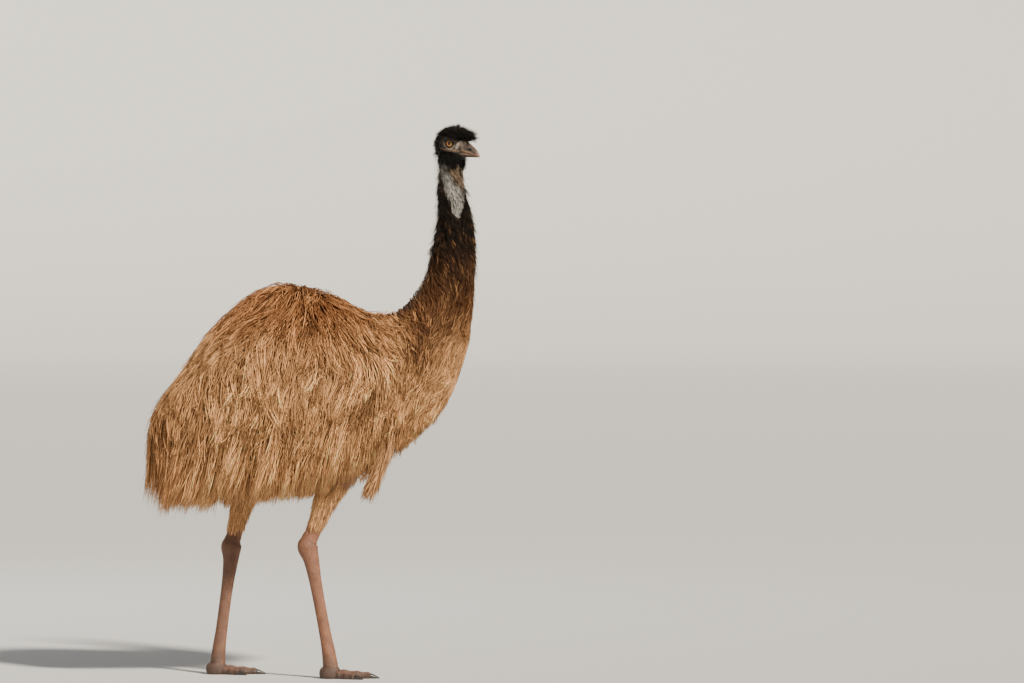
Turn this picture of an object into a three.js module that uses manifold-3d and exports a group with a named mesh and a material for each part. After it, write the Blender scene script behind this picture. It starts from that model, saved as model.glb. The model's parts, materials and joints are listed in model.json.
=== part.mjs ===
// An adult emu standing with one foot a short step ahead of the other, life size, as a still museum model.
// Millimetres. +X is forward, +Y the bird's left and +Z up. The origin is on the floor, below the middle.
// The head is turned to the bird's right. The plumage is built as overlapping tapered locks over a core that
// reaches at most half way out to their tips.
import * as THREE from "three";
import { mergeVertices } from "three/addons/utils/BufferGeometryUtils.js";
import Module from "manifold-3d";

const wasm = await Module();
wasm.setup();

const { clamp, lerp, smoothstep, degToRad } = THREE.MathUtils;
const v3 = (x, y, z) => new THREE.Vector3(x, y, z);

// Clearance between neighbouring pieces
const GAP = 0.3;
// Corners closer than this are one
const MERGE = 1e-3;

// Trunk and neck core from rump to throat: one row for each cross-section.
// back and belly are the section's upper and lower ends [x, z], half is its half width, coat the height of
// the lock tips above it, and lock the size of its locks against those of the flank.
const TRUNK = [
  { back: [-450, 800], belly: [-444, 735], half: 45, coat: 36, lock: 0.8 },
  { back: [-426, 843], belly: [-420, 700], half: 88, coat: 38, lock: 0.8 },
  { back: [-380, 905], belly: [-376, 660], half: 134, coat: 38, lock: 0.88 },
  { back: [-318, 986], belly: [-314, 638], half: 162, coat: 42, lock: 1 },
  { back: [-240, 1094], belly: [-235, 625], half: 188, coat: 42, lock: 1 },
  { back: [-130, 1185], belly: [-130, 615], half: 202, coat: 44, lock: 1 },
  { back: [-20, 1220], belly: [-10, 620], half: 204, coat: 44, lock: 1 },
  { back: [90, 1186], belly: [110, 640], half: 196, coat: 42, lock: 1 },
  { back: [190, 1135], belly: [225, 680], half: 178, coat: 38, lock: 1 },
  { back: [262, 1122], belly: [325, 765], half: 152, coat: 38, lock: 0.98 },
  { back: [318, 1145], belly: [432, 880], half: 125, coat: 38, lock: 0.95 },
  { back: [357, 1185], belly: [499, 1027], half: 103, coat: 27, lock: 0.95 },
  { back: [392, 1229], belly: [525, 1147], half: 82, coat: 22, lock: 0.89 },
  { back: [418, 1292], belly: [535, 1243], half: 65, coat: 17, lock: 0.86 },
  { back: [430, 1361], belly: [542, 1333], half: 56, coat: 14, lock: 0.8 },
  { back: [443, 1431], belly: [540, 1414], half: 49, coat: 12, lock: 0.7 },
  { back: [450, 1500], belly: [526, 1490], half: 42, coat: 13, lock: 0.66 },
  { back: [446, 1570], belly: [517, 1565], half: 38, coat: 13, lock: 0.64 },
  { back: [444, 1625], belly: [512, 1630], half: 37, coat: 12, lock: 0.6 },
  { back: [452, 1672], belly: [503, 1676], half: 32, coat: 10, lock: 0.5 },
];
const TRUNK_SIDES = 18;
const TRUNK_RINGS = 36;
const EGG = 0.14; // how far the widest level sits below the middle of a section

// Stations of TRUNK at which the trunk is parted
const TAIL_SEAM = 3.3;
const NECK_SEAM = 10.6;
const UPPER_NECK_SEAM = 14.3;
const HEAD_SEAM = 18.3;

// Flank locks
const LOCK = { length: 195, width: 80, thick: 10, along: 110, across: 61 };
// Lowest reach of the hanging plumage [x, z], rear to front
const HEM = [
  [-440, 535],
  [-200, 532],
  [-180, 543],
  [-44, 568],
  [60, 579],
  [120, 590],
  [203, 622],
  [330, 737],
  [420, 810],
];

// Head frame: the point midway between the eyes, its turn to the right and its downward pitch
const HEAD = { x: 491, y: -11, z: 1694, turn: degToRad(32), pitch: degToRad(10) };
const EYE = { radius: 15.5, side: 21.5 };
const MOUTH_Z = -21;

// Legs: sideways distance of each leg, and the toe joint and hock of each [x, z]
const LEG_SIDE = 96;
const TOE_JOINT_Z = 45;
const LEGS = {
  right: { side: -1, toe: 99, hock: [30, 416], knee: [140, 720] },
  left: { side: 1, toe: -268, hock: [-220, 406], knee: [-150, 700] },
};

// Seeded random numbers from 0 to 1
let seed = 23;
function random() {
  seed = (seed + 0x6d2b79f5) | 0;
  let t = Math.imul(seed ^ (seed >>> 15), 1 | seed);
  t = (t + Math.imul(t ^ (t >>> 7), 61 | t)) ^ t;
  return ((t ^ (t >>> 14)) >>> 0) / 4294967296;
}
const vary = (share) => 1 + share * (2 * random() - 1);

// Smooth value at station u of a row of numbers
function spline(values, u) {
  const last = values.length - 1;
  const t = clamp(u, 0, last);
  const i = Math.min(Math.floor(t), last - 1);
  const f = t - i;
  const [a, b, c, d] = [i - 1, i, i + 1, i + 2].map((k) => values[clamp(k, 0, last)]);
  return b + 0.5 * f * (c - a + f * (2 * a - 5 * b + 4 * c - d + f * (3 * (b - c) + d - a)));
}

// Straight-line value at x of a row of [x, value] pairs
function level(pairs, x) {
  const k = clamp(pairs.findIndex((p) => p[0] > x), 1, pairs.length - 1) || pairs.length - 1;
  const [from, to] = x >= pairs[pairs.length - 1][0] ? pairs.slice(-2) : [pairs[k - 1], pairs[k]];
  return lerp(from[1], to[1], clamp((x - from[0]) / (to[0] - from[0]), 0, 1));
}

// Closed surface through a row of rings of points, each end closed by a fan to its own point
function loft(rings, start, end) {
  const sides = rings[0].length;
  const middle = (ring) => ring.reduce((sum, p) => sum.add(p), v3(0, 0, 0)).divideScalar(sides);
  const points = [...rings.flat(), start ?? middle(rings[0]), end ?? middle(rings.at(-1))];
  const index = [];
  const first = points.length - 2;
  const lastRing = (rings.length - 1) * sides;
  for (let j = 0; j < sides; j++) {
    const k = (j + 1) % sides;
    for (let i = 0; i < lastRing; i += sides) {
      index.push(i + j, i + k, i + sides + k, i + j, i + sides + k, i + sides + j);
    }
    index.push(first, k, j, first + 1, lastRing + j, lastRing + k);
  }
  const geometry = new THREE.BufferGeometry().setFromPoints(points);
  geometry.setIndex(index);
  return solid(geometry);
}

// Closed geometry as a solid, turned to face outwards
function solid(geometry) {
  const bare = geometry.clone();
  bare.deleteAttribute("normal");
  bare.deleteAttribute("uv");
  const merged = mergeVertices(bare, MERGE);
  const { array } = merged.index;
  const make = (triVerts) =>
    new wasm.Manifold(
      new wasm.Mesh({ numProp: 3, vertProperties: merged.attributes.position.array, triVerts }),
    );
  const made = make(new Uint32Array(array));
  return made.volume() >= 0 ? made : make(new Uint32Array(array).reverse());
}

const union = (pieces) => wasm.Manifold.union(pieces);

// The largest closed body of a solid
function largest(made) {
  return made.decompose().reduce((a, b) => (b.volume() > a.volume() ? b : a));
}

// Ellipse of points round centre in the plane of two axes
function ellipse(centre, across, up, sides) {
  return Array.from({ length: sides }, (_, j) => {
    const a = (2 * Math.PI * j) / sides;
    return centre.clone().addScaledVector(across, Math.cos(a)).addScaledVector(up, Math.sin(a));
  });
}

// Limb through rows of { at, front, side }: half thickness in the fore-and-aft and sideways directions
function limb(rows, sides, steps, grow) {
  const pick = (read) => rows.map(read);
  const place = (u) =>
    v3(spline(pick((r) => r.at[0]), u), spline(pick((r) => r.at[1]), u), spline(pick((r) => r.at[2]), u));
  const rings = [];
  for (let i = 0; i <= steps; i++) {
    const u = ((rows.length - 1) * i) / steps;
    const along = place(u + 0.05).sub(place(u - 0.05)).normalize();
    const across = v3(0, 1, 0).addScaledVector(along, -along.y).normalize();
    const front = across.clone().cross(along);
    across.multiplyScalar(spline(pick((r) => r.side), u) + grow);
    front.multiplyScalar(spline(pick((r) => r.front), u) + grow);
    rings.push(ellipse(place(u), across, front, sides));
  }
  return loft(rings);
}

// Trunk surface at station u and angle phi from the back round to the belly, to the left for positive phi
const column = (read) => TRUNK.map(read);
const BACK_X = column((r) => r.back[0]);
const BACK_Z = column((r) => r.back[1]);
const BELLY_X = column((r) => r.belly[0]);
const BELLY_Z = column((r) => r.belly[1]);
const HALF = column((r) => r.half);
const COAT = column((r) => r.coat);
const LOCK_SIZE = column((r) => r.lock);
function trunk(u, phi, grow = 0) {
  const back = v3(spline(BACK_X, u), 0, spline(BACK_Z, u));
  const belly = v3(spline(BELLY_X, u), 0, spline(BELLY_Z, u));
  const reach = back.distanceTo(belly) / 2 + grow;
  const upward = back.clone().sub(belly).normalize();
  const point = back.add(belly).multiplyScalar(0.5).addScaledVector(upward, reach * Math.cos(phi));
  point.y = (spline(HALF, u) + grow) * Math.sin(phi) * (1 - EGG * Math.cos(phi));
  return point;
}

function trunkFrame(u, phi) {
  const step = 0.02;
  const at = trunk(u, phi);
  const alongU = trunk(u + step, phi).sub(trunk(u - step, phi)).divideScalar(2 * step);
  const alongPhi = trunk(u, phi + step).sub(trunk(u, phi - step)).divideScalar(2 * step);
  const normal = alongU.clone().cross(alongPhi).normalize();
  return { at, alongU, alongPhi, normal };
}

function trunkCore(grow) {
  const last = TRUNK.length - 1;
  const rings = [];
  for (let i = 0; i <= TRUNK_RINGS; i++) {
    const u = (last * i) / TRUNK_RINGS;
    const angles = Array.from({ length: TRUNK_SIDES }, (_, j) => (2 * Math.PI * j) / TRUNK_SIDES);
    rings.push(angles.map((phi) => trunk(u, phi, grow)));
  }
  return loft(rings);
}

// Lie of the plumage: back and down over the rump, forward and down over the shoulder, straight down on the
// flank. Each pair is [x, forward run for each unit of fall].
const UPPER_LEAN = [
  [-480, -0.4],
  [-400, -0.8],
  [-300, -1.4],
  [-120, -1.2],
  [-40, -0.3],
  [50, 0.6],
  [150, 1],
  [300, 0.9],
  [400, 0.4],
  [550, 0.2],
];
const LOWER_LEAN = [
  [-450, -0.32],
  [-350, -0.3],
  [-200, -0.3],
  [0, -0.2],
  [150, -0.3],
  [300, -0.2],
  [450, -0.5],
];
function lie(u, phi) {
  const at = trunk(u, phi);
  const top = spline(BACK_Z, u);
  const depth = (top - at.z) / Math.max(top - spline(BELLY_Z, u), 120);
  const upper = 1 - smoothstep(depth, at.x < 0 ? 0.16 : 0.2, at.x < 0 ? 0.32 : 0.5);
  const lean = lerp(level(LOWER_LEAN, at.x), level(UPPER_LEAN, at.x), upper);
  const parting = 0.5 * Math.sin(phi) + 0.45 * Math.sign(phi) * Math.exp(-((phi / 0.5) ** 2));
  return v3(lean, parting, -1).normalize();
}

// Course of a lock over the trunk: it follows the surface down the lie and hangs free below the widest level
const COURSE_STEPS = 10;
function course(u0, phi0, length, rise, sink) {
  const points = [];
  let [u, phi] = [u0, phi0];
  let frame = trunkFrame(u, phi);
  let free = false;
  let at;
  for (let i = 0; i <= COURSE_STEPS; i++) {
    const s = i / COURSE_STEPS;
    const height = -sink + (rise + sink) * Math.sin((Math.PI / 2) * Math.min(s / 0.5, 1));
    if (!free) {
      frame = trunkFrame(u, phi);
      at = frame.at.clone().addScaledVector(frame.normal, height);
    }
    const along = lie(u, phi);
    if (free) along.y *= 0.25;
    else along.addScaledVector(frame.normal, -along.dot(frame.normal));
    along.normalize();
    points.push({ at: at.clone(), normal: frame.normal.clone(), along });
    free = free || (frame.normal.z < (at.x > 330 ? -0.5 : -0.12) && i > 2) || u < 0.05;
    const step = length / COURSE_STEPS;
    if (free) {
      at = at.clone().addScaledVector(along, step);
    } else {
      // The step along the surface, as steps of the two surface directions
      const a = frame.alongU.dot(frame.alongU);
      const b = frame.alongU.dot(frame.alongPhi);
      const c = frame.alongPhi.dot(frame.alongPhi);
      const [p, q] = [along.dot(frame.alongU) * step, along.dot(frame.alongPhi) * step];
      const det = a * c - b * b;
      u += (p * c - q * b) / det;
      phi += (q * a - p * b) / det;
    }
  }
  return points;
}

// Tapered lock along a path, with a low crest above, narrowing to a point. A short one has a keel below too,
// which keeps it whole where it twists.
const LONG = [
  { s: 0, width: 0.75, thick: 0.9 },
  { s: 0.4, width: 1, thick: 1 },
  { s: 0.7, width: 0.8, thick: 0.7 },
];
const SHORT = [
  { s: 0, width: 0.8, thick: 1 },
  { s: 0.5, width: 1, thick: 0.9 },
];
function lock(path, width, thick, grow = 0, sections = SHORT) {
  const rings = sections.map((ring) => {
    const { at: centre, normal, along } = path[Math.round(ring.s * (path.length - 1))];
    const across = normal.clone().cross(along).normalize();
    const up = along.clone().cross(across);
    const half = (width * ring.width) / 2 + 3 * grow;
    const crest = thick * ring.thick + 2 * grow;
    const corner = (side, rise) => centre.clone().addScaledVector(across, side).addScaledVector(up, rise);
    const keel = sections === SHORT ? [corner(0, -0.6 * crest)] : [];
    return [corner(half, -grow), corner(0, crest), corner(-half, -grow), ...keel];
  });
  const end = path.at(-1);
  return loft(rings, undefined, end.at.clone().addScaledVector(end.along, grow));
}

// Bare skin at the sides and front of the upper neck, which carries no locks
function bareNeck(u, phi) {
  return u > 15.3 && Math.abs(phi) > 1.15;
}

// Roots of the trunk's locks: points spread over the core, further apart along the lie than across it
function lockRoots() {
  const roots = [];
  const last = TRUNK.length - 1;
  for (let n = 0; n < 14000; n++) {
    const u = 0.1 + (last - 1.2) * random();
    const phi = Math.PI * (2 * random() - 1);
    const { at, normal } = trunkFrame(u, phi);
    const underside = normal.z < (at.x > 330 ? -0.7 : -0.32);
    if (underside || bareNeck(u, phi)) continue;
    const size = spline(LOCK_SIZE, u);
    const flow = lie(u, phi);
    flow.addScaledVector(normal, -flow.dot(normal)).normalize();
    const crowded = roots.some((r) => {
      const apart = r.at.clone().sub(at);
      const along = apart.dot(flow);
      const across = Math.sqrt(Math.max(apart.lengthSq() - along * along, 0));
      return Math.hypot(along / (LOCK.along * size), across / (LOCK.across * size)) < 1;
    });
    if (!crowded) roots.push({ u, phi, at, size });
  }
  return roots;
}

function trunkLock({ u, phi, at, size }) {
  const coat = spline(COAT, u);
  const reach = at.z - level(HEM, at.x);
  const hanging = at.x < 300 && reach < 330 && reach > 60;
  const length = hanging
    ? Math.max(LOCK.length * size, reach * 1.07) * vary(0.04)
    : LOCK.length * size * vary(0.12);
  const thick = LOCK.thick * size;
  const path = course(u, phi, Math.min(length, 330), (coat - thick) * vary(0.12), thick);
  const sections = size > 0.9 ? LONG : SHORT;
  return lock(path, LOCK.width * size * vary(0.12), LOCK.thick * size * vary(0.1), 0, sections);
}

// Half space below (side -1) or above (side 1) the cross-section at station u, for parting the trunk
function beyond(made, u, side) {
  const back = trunk(u, 0);
  const belly = trunk(u, Math.PI);
  const upward = back.clone().sub(belly).normalize();
  const forward = v3(0, 1, 0).cross(upward).multiplyScalar(side);
  return made.trimByPlane(forward.toArray(), forward.dot(back) + GAP / 2);
}

// Head pieces are made in the head's own frame, then turned and set on the neck
const headPlace = new THREE.Matrix4()
  .makeTranslation(HEAD.x, HEAD.y, HEAD.z)
  .multiply(new THREE.Matrix4().makeRotationZ(-HEAD.turn))
  .multiply(new THREE.Matrix4().makeRotationY(HEAD.pitch));
const placeHead = (made) => made.transform(headPlace.elements);

// Loft along the head's X through rows of [x, top, bottom, half width]
function headLoft(rows, sides, steps, grow = 0) {
  const rings = [];
  for (let i = 0; i <= steps; i++) {
    const [x, top, bottom, half] = section(rows, i / steps);
    const across = v3(0, half + grow, 0);
    const up = v3(0, 0, (top - bottom) / 2 + grow);
    rings.push(ellipse(v3(x, 0, (top + bottom) / 2), across, up, sides));
  }
  return loft(rings);
}

// Smooth values of a list of rows at a share of its length
function section(rows, share) {
  return rows[0].map((_, k) => spline(rows.map((r) => r[k]), (rows.length - 1) * share));
}

const SKULL = [
  [-57, 6, -14, 12],
  [-50, 21, -31, 24],
  [-36, 31, -42, 31],
  [-16, 35, -46, 34],
  [5, 35, -44, 33],
  [22, 31, -41, 30],
  [37, 24, -38, 24.5],
  [47, 15, -34, 19],
  [51, 8, -30, 13],
];
const UPPER_BILL = [
  [20, 24, -21, 24],
  [35, 20, -20.5, 22.5],
  [48, 13.5, -20.5, 19],
  [62, 7, -22, 14.5],
  [76, -0.5, -24, 10.5],
  [88, -8.5, -26, 7.5],
  [96, -16, -27.5, 4.5],
  [100, -21.5, -27.5, 2],
];
const LOWER_BILL = [
  [15, -21, -40, 22],
  [35, -21.2, -38, 20],
  [55, -22.3, -35.5, 15.5],
  [72, -24.2, -32.5, 10.5],
  [86, -26.6, -30.5, 6.5],
  [92, -27.6, -29.8, 3.5],
];

// Section of one half of the bill: a flat edge along the gape, and an arch from it to the ridge
function billRing(x, edge, crest, half, sides) {
  return Array.from({ length: sides }, (_, j) => {
    const a = (Math.PI * j) / (sides - 1);
    return v3(x, half * Math.cos(a), edge + (crest - edge) * Math.sin(a) ** 0.8);
  });
}
function bill(rows, upper, sides, steps) {
  const rings = [];
  for (let i = 0; i <= steps; i++) {
    const [x, top, bottom, half] = section(rows, i / steps);
    rings.push(upper ? billRing(x, bottom, top, half, sides) : billRing(x, top, bottom, half, sides));
  }
  return loft(rings);
}

const ball = (radius, across, down) => solid(new THREE.SphereGeometry(radius, across, down));
const boxAt = (size, at) => solid(new THREE.BoxGeometry(...size)).translate(at);

// Crown: a flat-topped mop of locks in tiers round the skull's top, steep in the middle and lower at the rim
const CROWN = {
  reach: [40, 29],
  top: 40,
  droop: 0.35,
  tiers: [
    { ring: 0.22, count: 3, rise: 76, length: 27, width: 22 },
    { ring: 0.62, count: 7, rise: 58, length: 33, width: 25 },
    { ring: 0.95, count: 12, rise: 36, length: 38, width: 24 },
  ],
};
function crownLocks() {
  return CROWN.tiers.flatMap(({ ring, count, rise, length, width }) =>
    Array.from({ length: count }, (_, k) => {
      const angle = (2 * Math.PI * (k + 0.3 * random())) / count;
      const out = v3(Math.cos(angle), Math.sin(angle), 0);
      const tilt = degToRad(rise * vary(0.15));
      const heading = out.clone().multiplyScalar(Math.cos(tilt)).add(v3(0, 0, Math.sin(tilt)));
      const base = lerp(CROWN.top, 25, ring ** 2) - 6;
      const root = v3(CROWN.reach[0] * ring * out.x, CROWN.reach[1] * ring * out.y, base);
      const long = (length + 6) * vary(0.12);
      const path = Array.from({ length: COURSE_STEPS + 1 }, (_, i) => {
        const s = i / COURSE_STEPS;
        const along = heading.clone().add(v3(0, 0, -CROWN.droop * s)).normalize();
        const sag = CROWN.droop * long * s * s * 0.5;
        const at = root.clone().addScaledVector(heading, long * s).add(v3(0, 0, -sag));
        return { at, normal: along.clone().cross(v3(-out.y, out.x, 0)).negate(), along };
      });
      return lock(path, width * vary(0.12), 5);
    }),
  );
}

// Lids, a ring round each eye, with the upper one heavier
function lids(side) {
  const ring = solid(new THREE.TorusGeometry(11.4, 3, 4, 12));
  const upright = new THREE.Matrix4().makeRotationX(Math.PI / 2);
  const outer = EYE.side + 10.5;
  return ring.transform(upright.elements).scale([1.1, 1, 0.95]).translate([0, side * outer, 0]);
}

function skullCore(grow) {
  return union([
    headLoft(SKULL, 12, 10, grow),
    ball(1, 10, 6).scale([36 + grow, 25 + grow, 23 + grow]).translate([6, 0, -36]),
    ball(1, 10, 6).scale([40 + grow, 31 + grow, 20 + grow]).translate([0, 0, 24]),
  ]);
}

function headWhole() {
  const pieces = [skullCore(0)];
  const cuts = [];
  for (const side of [-1, 1]) {
    pieces.push(lids(side));
    cuts.push(ball(EYE.radius + GAP, 12, 8).translate([0, side * EYE.side, 0]));
    // Ear opening behind and below the eye
    cuts.push(ball(1, 8, 6).scale([5, 6, 4]).translate([-27, side * 34, -12]));
    // Line of the mouth from its corner to the bill
    cuts.push(boxAt([62, 20, 1.4], [21, side * 34, MOUTH_Z]));
  }
  return union([...pieces, ...crownLocks()]).subtract(union(cuts));
}

// Materials
const finish = (color, roughness, metalness = 0) =>
  new THREE.MeshStandardMaterial({ color, roughness, metalness });
const PLUMAGE = finish(0xa87850, 0.85);
const NECK_PLUMAGE = finish(0x3a2a20, 0.85);
const NECK_SKIN = finish(0xa9b0ad, 0.7);
const FACE = finish(0x2b2824, 0.75);
const BILL = finish(0x4b3d35, 0.45);
const IRIS = finish(0xc77a28, 0.08);
const LEG_SKIN = finish(0x8a5a44, 0.7);
const CLAW = finish(0x2c2724, 0.4);

const nodes = [];
const add = (name, made, material) => nodes.push({ name, made, material });

// Solid as a geometry
function geometryOf(made) {
  const { vertProperties, triVerts, numProp } = made.getMesh();
  const corner = (_, i) => v3(...vertProperties.subarray(i * numProp, i * numProp + 3));
  const corners = Array.from({ length: vertProperties.length / numProp }, corner);
  const geometry = new THREE.BufferGeometry().setFromPoints(corners);
  geometry.setIndex(new THREE.BufferAttribute(triVerts, 1));
  return geometry;
}

// Legs: feathered drumstick, scaled shank, a pad where the toes join, three toes and their claws
function drumstick(leg, grow) {
  const y = leg.side * LEG_SIDE;
  const [hx, hz] = leg.hock;
  const [kx, kz] = leg.knee;
  return limb(
    [
      { at: [hx, y, hz + 22], front: 27, side: 22 },
      { at: [lerp(hx, kx, 0.22), y, hz + 75], front: 31, side: 26 },
      { at: [lerp(hx, kx, 0.5), y, hz + 150], front: 45, side: 38 },
      { at: [lerp(hx, kx, 0.78), y, hz + 220], front: 62, side: 50 },
      { at: [kx, y, kz], front: 75, side: 58 },
    ],
    12,
    8,
    grow,
  );
}

// Short locks lying down the drumstick
function drumstickLocks(leg, grow) {
  const y = leg.side * LEG_SIDE;
  const [hx, hz] = leg.hock;
  const [kx] = leg.knee;
  const locks = [];
  for (let tier = 0; tier < 2; tier++) {
    const z = hz + 118 + 52 * tier;
    const share = (z - hz) / 290;
    const centre = v3(lerp(hx, kx, share), y, z);
    const radius = lerp(26, 52, share * 1.3);
    const count = 5 + tier;
    for (let k = 0; k < count; k++) {
      const angle = (2 * Math.PI * (k + 0.5 * (tier % 2) + 0.15 * random())) / count;
      const out = v3(Math.cos(angle) * 1.1, Math.sin(angle), 0);
      const down = v3(-(kx - hx) / 290, 0, -1).addScaledVector(out, -0.1).normalize();
      const length = 74 * vary(0.1);
      const steps = Array.from({ length: COURSE_STEPS + 1 }, (_, i) => {
        const s = i / COURSE_STEPS;
        const at = centre.clone().addScaledVector(out, radius - 5 + 13 * s);
        at.addScaledVector(down, length * s);
        return { at, normal: out.clone().normalize(), along: down };
      });
      locks.push(lock(steps, 30 + 4 * tier, 6, grow));
    }
  }
  return locks;
}

// Shank with the hock's knob above and the toe joint's below, and broad scutes down its front
function shank(leg, grow) {
  const y = leg.side * LEG_SIDE;
  const [hx, hz] = leg.hock;
  const down = (share, dx = 0) => [lerp(hx, leg.toe, share) + dx, y, lerp(hz, TOE_JOINT_Z, share)];
  return limb(
    [
      { at: [hx + 3, y, hz + 22], front: 26, side: 22 },
      { at: down(0, -4), front: 32, side: 25 },
      { at: down(0.12, -2), front: 24, side: 20 },
      { at: down(0.35), front: 18.5, side: 14.5 },
      { at: down(0.7), front: 18, side: 14 },
      { at: down(0.9), front: 21, side: 19 },
      { at: [leg.toe, y, TOE_JOINT_Z - 18], front: 24, side: 24 },
    ],
    8,
    8,
    grow,
  );
}

function scutes(leg) {
  const [hx, hz] = leg.hock;
  const count = 7;
  return Array.from({ length: count }, (_, i) => {
    const share = lerp(0.22, 0.86, i / (count - 1));
    const at = v3(lerp(hx, leg.toe, share) + 15.2, leg.side * LEG_SIDE, lerp(hz, TOE_JOINT_Z, share));
    const plate = new THREE.CylinderGeometry(12.6, 14, 22, 6, 1, false);
    return solid(plate).rotate([90, 0, 0]).scale([0.36, 0.92, 1]).translate(at.toArray());
  });
}

// One toe: its pads rest flat on the floor, and its claw starts at its tip
const TOES = [
  { name: "middle", angle: 0, length: 128, width: 17, height: 30 },
  { name: "inner", angle: 30, length: 84, width: 14, height: 26 },
  { name: "outer", angle: -30, length: 92, width: 14, height: 26 },
];
const CLAW_LENGTH = 27;
const PAD_RADIUS = 30;
function toeFrame(leg, toe) {
  const heading = degToRad(toe.angle * -leg.side);
  const place = new THREE.Matrix4().makeTranslation(leg.toe, leg.side * LEG_SIDE, 0);
  return place.multiply(new THREE.Matrix4().makeRotationZ(heading));
}

// Section of a toe: rounded above, flat on the floor below
function toeRing(x, half, height, lift = 0) {
  return Array.from({ length: 8 }, (_, j) => {
    const a = (2 * Math.PI * j) / 8;
    return v3(x, half * Math.cos(a), Math.max(height * (0.42 + 0.58 * Math.sin(a)), 0) + lift);
  });
}

function toe(leg, { length, width, height, ...rest }, grow = 0) {
  const rows = [0.1, 0.35, 0.5, 0.65, 0.8, 1].map((s, i) => {
    const bulge = i % 2 ? 1.06 : 0.94;
    const half = width * lerp(1.15, 0.72, s) * bulge + grow;
    return toeRing(length * s, half, height * lerp(1.05, 0.62, s) * bulge + grow);
  });
  return loft(rows).transform(toeFrame(leg, rest).elements);
}

function claw(leg, { length, width, height, ...rest }) {
  const rows = [0, 0.35, 0.7].map((s) =>
    toeRing(length + GAP + CLAW_LENGTH * s, width * lerp(0.62, 0.3, s), height * lerp(0.55, 0.28, s), 0.4),
  );
  const tip = v3(length + CLAW_LENGTH, 0, 2.5);
  return loft(rows, undefined, tip).transform(toeFrame(leg, rest).elements);
}

// Pad under the toe joint, with a flat sole
function pad(leg, grow) {
  const rings = [
    [0, 0.86],
    [5, 1],
    [20, 0.98],
    [34, 0.72],
  ].map(([z, share]) => {
    const r = PAD_RADIUS * share + grow;
    const centre = v3(leg.toe - 2, leg.side * LEG_SIDE, z + (z > 30 ? grow : 0));
    return ellipse(centre, v3(r * 1.15, 0, 0), v3(0, r, 0), 14);
  });
  return loft(rings);
}

// Wing: a short, thin arm that hangs against the side with a few drooping locks
const WING = [
  { at: [312, 118, 850], front: 17, side: 12 },
  { at: [296, 150, 790], front: 16, side: 11 },
  { at: [272, 160, 715], front: 13, side: 9 },
  { at: [245, 158, 650], front: 9, side: 7 },
];
function wing(side, grow) {
  const rows = WING.map((r) => ({ ...r, at: [r.at[0], side * r.at[1], r.at[2]] }));
  const locks = Array.from({ length: 7 }, (_, k) => {
    const s = 1.1 + (1.85 * k) / 6;
    const [x, y, z] = [0, 1, 2].map((i) => spline(rows.map((r) => r.at[i]), s));
    const back = k % 2 ? -1 : 1;
    const length = 82 * vary(0.1);
    const down = v3(-0.5 + 0.1 * back, 0, -1).normalize();
    const steps = Array.from({ length: COURSE_STEPS + 1 }, (_, i) => {
      const t = i / COURSE_STEPS;
      const at = v3(x + 4 * back, y + side * (2 + 5 * back * t + 4 * t), z);
      at.addScaledVector(down, length * t);
      return { at, normal: v3(0, side, 0), along: down };
    });
    return lock(steps, 24, 5, grow);
  });
  return union([limb(rows, 8, 5, grow), ...locks]);
}

// Random draws are repeated for a piece and for the cut that clears it
function again(make) {
  const kept = seed;
  return (grow) => {
    seed = kept;
    return make(grow);
  };
}

const coreClear = trunkCore(GAP);
const coreFar = trunkCore(2 * GAP);
const roots = lockRoots();
const plumage = union([trunkCore(0), ...roots.map(trunkLock)]);

const wings = [-1, 1].map((side) => again((grow) => wing(side, grow)));
const thighs = Object.values(LEGS).map((leg) =>
  again((grow) => union([drumstick(leg, grow), ...drumstickLocks(leg, grow)])),
);
const shanksClear = Object.values(LEGS).map((leg) => shank(leg, GAP));
const clearings = union([...wings, ...thighs].map((make) => make(GAP)).concat(shanksClear));
// The clearings stop at the core, so that wings and legs meet it face to face
const trimmed = plumage.subtract(clearings.subtract(coreClear));

const skull = placeHead(headWhole());
const skullClear = placeHead(skullCore(GAP));

add("tail", beyond(trimmed, TAIL_SEAM, -1), PLUMAGE);
add("torso", beyond(beyond(trimmed, TAIL_SEAM, 1), NECK_SEAM, -1), PLUMAGE);
add("neck_lower", beyond(beyond(trimmed, NECK_SEAM, 1), UPPER_NECK_SEAM, -1), NECK_PLUMAGE);
const topOfNeck = union([beyond(trimmed, UPPER_NECK_SEAM, 1), skull]);
add("neck_upper", beyond(topOfNeck, HEAD_SEAM, -1), NECK_SKIN);
add("head", beyond(topOfNeck, HEAD_SEAM, 1), FACE);

const nostrils = union(
  [-1, 1].map((side) => ball(1, 8, 6).scale([7, 3, 2.6]).translate([66, side * 10.5, -8])),
);
add("bill_upper", placeHead(bill(UPPER_BILL, true, 8, 8).subtract(nostrils)).subtract(skullClear), BILL);
const lowerBill = placeHead(bill(LOWER_BILL, false, 7, 8).translate([0, 0, -GAP]));
add("bill_lower", lowerBill.subtract(skullClear), BILL);

for (const [which, side] of [["right", -1], ["left", 1]]) {
  add(`eye_${which}`, placeHead(ball(EYE.radius, 12, 8).translate([0, side * EYE.side, 0])), IRIS);
  add(`wing_${which}`, wings[(side + 1) / 2](0).subtract(coreFar), PLUMAGE);
}

Object.entries(LEGS).forEach(([which, leg], k) => {
  const shankClear = shank(leg, GAP);
  const padClear = pad(leg, GAP);
  add(`drumstick_${which}`, thighs[k](0).subtract(coreFar).subtract(shankClear), PLUMAGE);
  add(`shank_${which}`, union([shank(leg, 0), ...scutes(leg)]).subtract(padClear), LEG_SKIN);
  add(`foot_pad_${which}`, pad(leg, 0), LEG_SKIN);
  const middleClear = toe(leg, TOES[0], GAP);
  for (const t of TOES) {
    const clear = t === TOES[0] ? padClear : padClear.add(middleClear);
    add(`toe_${t.name}_${which}`, toe(leg, t).subtract(clear), LEG_SKIN);
    add(`claw_${t.name}_${which}`, claw(leg, t), CLAW);
  }
});

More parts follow.
